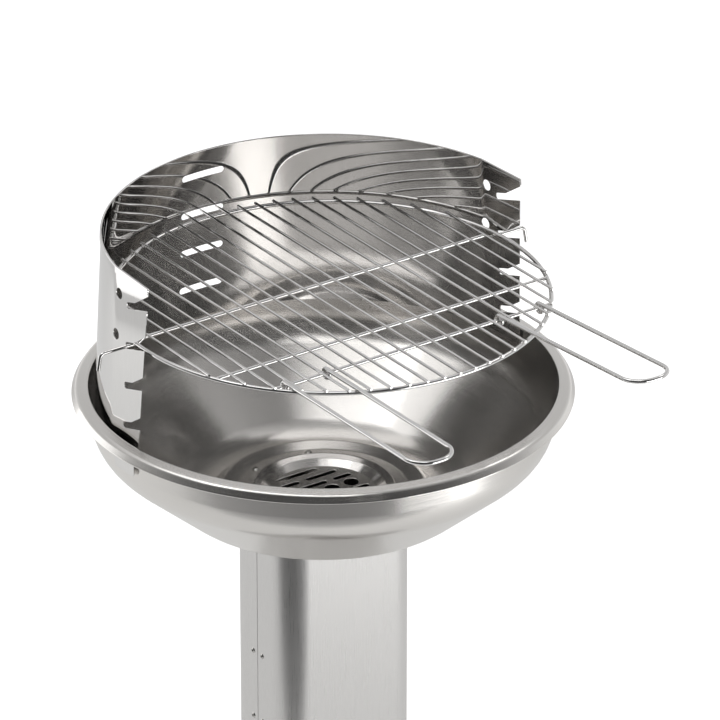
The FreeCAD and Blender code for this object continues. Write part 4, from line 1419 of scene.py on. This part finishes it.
@dataclass
class Handle:
    """A loop of bent wire that swings on the front cross wire."""

    side: float
    lift: float
    body: Body
    node: str
    grate: CookingGrate
    wire_r: float = 0.0025
    centre_x: float = 0.1443
    half_width: float = 0.0278
    length: float = 0.252
    end_r: float = 0.0248
    eye_gap: float = 0.0003
    wrap: float = math.radians(285.0)

    def build(self) -> None:
        """Draws the handle, level at first and then swung up about its hinge."""
        eye_r = self.grate.cross_r + self.eye_gap + self.wire_r
        axis = Vector((0.0, self.grate.cross_ys[-1], self.grate.heights()[2]))
        swing = Matrix.Rotation(-self.lift, 3, "X")
        xs = [self.side * self.centre_x + side * self.half_width for side in SIDES]
        count = math.ceil(self.wrap / ARC_STEP)
        eyes = []
        for x in xs:
            eye: Path = []
            for k in range(count + 1):
                a = self.wrap * (1 - k / count)
                spoke = Vector((0.0, math.sin(a), math.cos(a)))
                eye.append((Vector((x, 0.0, 0.0)) + spoke * eye_r, Vector((0.0, -spoke.z, spoke.y))))
            eyes.append(eye)
        corners = [Vector((xs[0], 0.0, eye_r)), Vector((xs[0], -self.length, eye_r)),
                   Vector((xs[1], -self.length, eye_r)), Vector((xs[1], 0.0, eye_r))]
        loop = rounded(corners, [self.end_r, self.end_r])
        back = [(at, -along) for at, along in reversed(eyes[1])]
        path = [(axis + swing @ at, swing @ along) for at, along in eyes[0][:-1] + loop + back[1:]]
        draft = Draft()
        tube(draft, path, self.wire_r, self.grate.thick_sides)
        add_piece(draft, self.node + "_wire", self.body, WIRE_CHROME, self.node)


@dataclass
class Column:
    """The two bent shells of the column and what joins them."""

    half: tuple[float, float] = (0.092, 0.059)
    corner: float = 0.034
    thickness: float = 0.0012
    bottom: float = 0.008
    top: float = 0.6095
    seam_gap: float = 0.0006
    opening_half: float = 0.051
    opening_z: tuple[float, float] = (0.076, 0.150)
    foot_screw: tuple[float, float] = (0.040, 0.034)
    head_screw: tuple[float, float] = (0.050, 0.5866)
    screw_hole_r: float = 0.0033
    vent_z: tuple[float, ...] = (0.092, 0.106, 0.120, 0.134)
    vent_size: Pair = (0.070, 0.006)
    screw_sides: int = 16
    mesh_bend: float = 0.0032
    mesh_v: float = 0.012
    mesh_margin: float = 0.004

    def side_run(self) -> float:
        """Length of a shell's flat side, from the seam to the bend."""
        return self.half[1] - self.corner - self.seam_gap / 2

    def place(self, sign: float) -> Placement:
        """Placement of a shell's outer face, u round it from its middle and v up it.

        Args:
            sign: -1 for the front shell and +1 for the rear one.

        Returns:
            The placement, with the normal pointing inwards.
        """
        flat = self.half[0] - self.corner
        bend = self.corner * math.pi / 2

        def at(u: float, v: float) -> tuple[Vector, Vector]:
            """Places the shell.

            Args:
                u: Distance round the shell from its middle.
                v: Height.

            Returns:
                The point and the normal inwards.
            """
            run = abs(u)
            side = 1.0 if u >= 0 else -1.0
            turn = min(math.pi / 2, max(0.0, (run - flat) / self.corner))
            x = min(run, flat) + self.corner * math.sin(turn)
            y = self.half[1] - self.corner * (1 - math.cos(turn)) - max(0.0, run - flat - bend)
            out = Vector((math.sin(turn) * side, math.cos(turn) * sign, 0.0))
            return Vector((x * side, y * sign, v)), -out
        return at

    def shell(self, sign: float, holes: list[Loop], name: str, node: str) -> None:
        """Draws one shell.

        Args:
            sign: -1 for the front shell and +1 for the rear one.
            holes: Its openings, as loops in u and v.
            name: The piece's name.
            node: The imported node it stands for.
        """
        flat = self.half[0] - self.corner
        bend = self.corner * math.pi / 2
        end = flat + bend + self.side_run()
        outline = [(-end, self.bottom), (end, self.bottom), (end, self.top), (-end, self.top)]
        corner_us = spaced(flat, flat + bend, self.mesh_bend)
        us = sorted([-u for u in corner_us] + corner_us)
        vs = spaced(self.bottom + self.mesh_margin, self.top - self.mesh_margin, self.mesh_v)
        draft = Draft()
        sheet(draft, [outline, *holes], self.place(sign), self.thickness, SHEET_EDGE, us, vs)
        add_piece(draft, name, Body.STAND, COLUMN_STEEL, node)

    def screw_holes(self, x: float, z: float) -> list[Loop]:
        """Loops of a pair of screw holes."""
        return [circle(side * x, z, self.screw_hole_r, self.screw_sides) for side in SIDES]

    def build(self) -> None:
        """Draws both shells and keeps the small parts that join them."""
        half, (low, high) = self.opening_half, self.opening_z
        door = [(-half, low), (-half, high), (half, high), (half, low)]
        screws = self.screw_holes(*self.foot_screw)
        self.shell(-1.0, [door, *screws], "column_shell_front", "column_front_shell")
        width, height = self.vent_size
        rear = screws + self.screw_holes(*self.head_screw)
        rear += [slot(-width / 2, width / 2, z, height) for z in self.vent_z]
        self.shell(1.0, rear, "column_shell_rear", "column_rear_shell")
        for node, finish in (("column_seam_strips", COLUMN_STEEL), ("column_seam_rivets", SCREW_STEEL),
                             ("column_head_plate", ZINC), ("column_screws", SCREW_STEEL),
                             ("foot_socket", ZINC), ("ash_hopper", ZINC),
                             ("drawer_runners", ZINC), ("base_plate", BASE_STEEL)):
            keep_node(node, finish)


@dataclass
class AshDrawer:
    """The ash drawer in the foot of the column."""

    def build(self) -> None:
        """Dresses the drawer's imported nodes."""
        keep_node("ash_drawer_tray", ZINC)
        keep_node("ash_drawer_front", COLUMN_STEEL)
        keep_node("ash_drawer_handle", WIRE_CHROME)
        keep_node("ash_drawer_screws", SCREW_STEEL)


@dataclass
class Studio:
    """Pale floor, soft lamps, world and camera.

    Attributes:
        floor_greys: The floor's darkest and brightest colour.
        room_levels: Grey of the room by height, from -1 straight below to 1 straight above.
        room_turn: Its strength round the room, from -1 behind the grill to 1 behind the camera.
        lamps_z: Height on the column's axis of the point that the lamps face.
        lamps: Name, degrees round from the camera, degrees above level, distance, size and watts.
    """

    azimuth: float = math.radians(-34.84)
    elevation: float = math.radians(26.27)
    distance: float = 7.5
    target_z: float = 0.844
    shift_right: float = 0.04159
    shift_up: float = -0.05748
    lens_mm: float = 333.75
    sensor_mm: float = 36.0
    floor_front: float = 0.65
    floor_back: float = 6.0
    floor_half: float = 5.0
    floor_white: float = 0.8
    floor_mirrored: float = 0.24
    room_strength: float = 1.6
    floor_greys: tuple[Triple, Triple] = ((0.80, 0.80, 0.79), (0.82, 0.82, 0.81))
    floor_patches: float = 3.0
    clip: Pair = (0.5, 60.0)
    room_levels: tuple[Pair, ...] = ((-1.0, 2.2), (-0.58, 2.2), (-0.46, 0.42), (-0.1, 0.65), (0.1, 0.52),
                                     (0.3, 0.4), (0.55, 0.36), (0.75, 0.48), (1.0, 0.5))
    room_turn: tuple[Pair, ...] = ((-1.0, 1.0), (-0.3, 0.95), (0.05, 0.5), (0.45, 0.14), (1.0, 0.06))
    lamps_z: float = 0.8
    lamps: tuple[tuple[str, float, float, float, Pair, float], ...] = (
        ("front_box", -28.0, 69.0, 2.5, (2.3, 1.0), 11.5), ("left_box", -85.0, 56.0, 3.0, (1.8, 1.0), 6.0),
        ("right_box", 125.0, 48.0, 3.0, (0.9, 0.6), 2.5),
        ("left_wall", -112.0, -3.0, 2.2, (1.6, 1.2), 4.5), ("right_wall", 56.0, -14.0, 1.7, (1.3, 0.8), 10.5))

    def add_camera(self) -> None:
        """Sets the camera at the photograph's angle and distance."""
        ahead = Vector((-math.sin(self.azimuth) * math.cos(self.elevation),
                        math.cos(self.azimuth) * math.cos(self.elevation), -math.sin(self.elevation)))
        right = Vector((math.cos(self.azimuth), math.sin(self.azimuth), 0.0))
        up = right.cross(ahead)
        data = bpy.data.cameras.new("camera")
        data.lens = self.lens_mm
        data.sensor_width = self.sensor_mm
        data.clip_start, data.clip_end = self.clip
        camera = bpy.data.objects.new("camera", data)
        at = UP * self.target_z - ahead * self.distance
        camera.location = at + right * self.shift_right + up * self.shift_up
        camera.rotation_mode = "QUATERNION"
        camera.rotation_quaternion = ahead.to_track_quat("-Z", "Y")
        bpy.context.scene.collection.objects.link(camera)
        bpy.context.scene.camera = camera

    def towards_camera(self) -> Vector:
        """The level direction from the grill to the camera."""
        return Vector((math.sin(self.azimuth), -math.cos(self.azimuth), 0.0))

    def add_floor(self) -> None:
        """Lays the pale floor, which keeps the grill's shadow and ends a little way in front of it."""
        ahead = self.towards_camera()
        aside = UP.cross(ahead)
        corners = []
        for share, side in ((1, -1), (1, 1), (-1, 1), (-1, -1)):
            reach = self.floor_front if share > 0 else self.floor_back
            corners.append(ahead * (share * reach) + aside * (side * self.floor_half))
        draft = Draft()
        draft.flat([draft.point(at) for at in corners])
        floor = draft.build("floor")
        pale = bpy.data.materials.new("pale_floor")
        shader = Shader(pale)
        paths = shader.node("ShaderNodeLightPath").outputs
        mirrored = shader.math("MAXIMUM", paths["Is Glossy Ray"], paths["Is Transmission Ray"])
        patches = shader.noise(shader.place(), self.floor_patches)
        tint = shader.ramp(patches, list(zip(NOISE_RANGE, self.floor_greys)))
        matt = shader.node("ShaderNodeBsdfDiffuse", {"Color": tint})
        seen = shader.math("MULTIPLY", paths["Is Camera Ray"], self.floor_white)
        strength = shader.math("ADD", seen, shader.math("MULTIPLY", mirrored, self.floor_mirrored))
        glow = shader.node("ShaderNodeEmission", {"Strength": strength})
        shader.surface(shader.node("ShaderNodeAddShader", {0: matt.outputs[0], 1: glow.outputs[0]}))
        floor.data.materials.append(pale)

    def add_world(self) -> None:
        """Sets the room that the steel reflects, with plain white where the camera sees it."""
        world = bpy.data.worlds.new("studio_world")
        shader = Shader(world, "ShaderNodeOutputWorld")
        along = shader.node("ShaderNodeTexCoord").outputs["Generated"]
        height = shader.node("ShaderNodeSeparateXYZ", {0: along}).outputs[2]
        inputs = {0: along, 1: self.towards_camera()}
        near = shader.node("ShaderNodeVectorMath", inputs, operation="DOT_PRODUCT")
        greys = []
        for value, levels in ((height, self.room_levels), (near.outputs["Value"], self.room_turn)):
            share = shader.node("ShaderNodeMapRange", {"Value": value, "From Min": -1.0}).outputs["Result"]
            stops = [((place + 1) / 2, (level, level, level)) for place, level in levels]
            greys.append(shader.ramp(share, stops))
        share = shader.node("ShaderNodeSeparateColor", {0: greys[1]}).outputs[0]
        strength = shader.math("MULTIPLY", share, self.room_strength)
        glow = shader.node("ShaderNodeBackground", {"Color": greys[0], "Strength": strength})
        white = shader.node("ShaderNodeBackground", {"Color": (1.0, 1.0, 1.0, 1.0)})
        seen = shader.node("ShaderNodeLightPath").outputs["Is Camera Ray"]
        inputs = {0: seen, 1: glow.outputs[0], 2: white.outputs[0]}
        shader.surface(shader.node("ShaderNodeMixShader", inputs))
        bpy.context.scene.world = world

    def add_lamp(self, name: str, at: Vector, aim: Vector, size: tuple[float, float], watts: float) -> None:
        """Hangs one soft rectangular lamp.

        Args:
            name: The lamp's name.
            at: Its middle.
            aim: The point it faces.
            size: Its width and height.
            watts: Its power.
        """
        data = bpy.data.lights.new(name, "AREA")
        data.shape = "RECTANGLE"
        data.size, data.size_y = size
        data.energy = watts
        lamp = bpy.data.objects.new(name, data)
        lamp.location = at
        lamp.rotation_mode = "QUATERNION"
        lamp.rotation_quaternion = (aim - at).to_track_quat("-Z", "Y")
        lamp.visible_camera = False
        bpy.context.scene.collection.objects.link(lamp)

    def build(self) -> None:
        """Sets up the studio."""
        bpy.context.scene.view_settings.view_transform = "Standard"
        self.add_camera()
        self.add_floor()
        self.add_world()
        middle = Vector((0.0, 0.0, self.lamps_z))
        for name, turn, rise, distance, size, watts in self.lamps:
            facing = self.azimuth - math.pi / 2 + math.radians(turn)
            level_off = Vector((math.cos(facing), math.sin(facing), 0.0)) * math.cos(math.radians(rise))
            at = middle + (level_off + UP * math.sin(math.radians(rise))) * distance
            self.add_lamp(name, at, middle, size, watts)


def main() -> None:
    """Builds the studio and the grill, piece by piece."""
    logging.basicConfig(level=logging.INFO, format="%(message)s")
    Studio().build()
    Bowl().build()
    VentCollar().build()
    CharcoalDisc().build()
    for node in ("bowl_screws", "bowl_washers", "bowl_nuts"):
        keep_node(node, SCREW_STEEL)
    Windshield().build()
    grate = CookingGrate()
    grate.build()
    Handle(-1.0, math.radians(0.4), Body.LEFT_HANDLE, "handle_left", grate).build()
    Handle(1.0, math.radians(3.8), Body.RIGHT_HANDLE, "handle_right", grate).build()
    Column().build()
    AshDrawer().build()


if __name__ == "__main__":
    main()
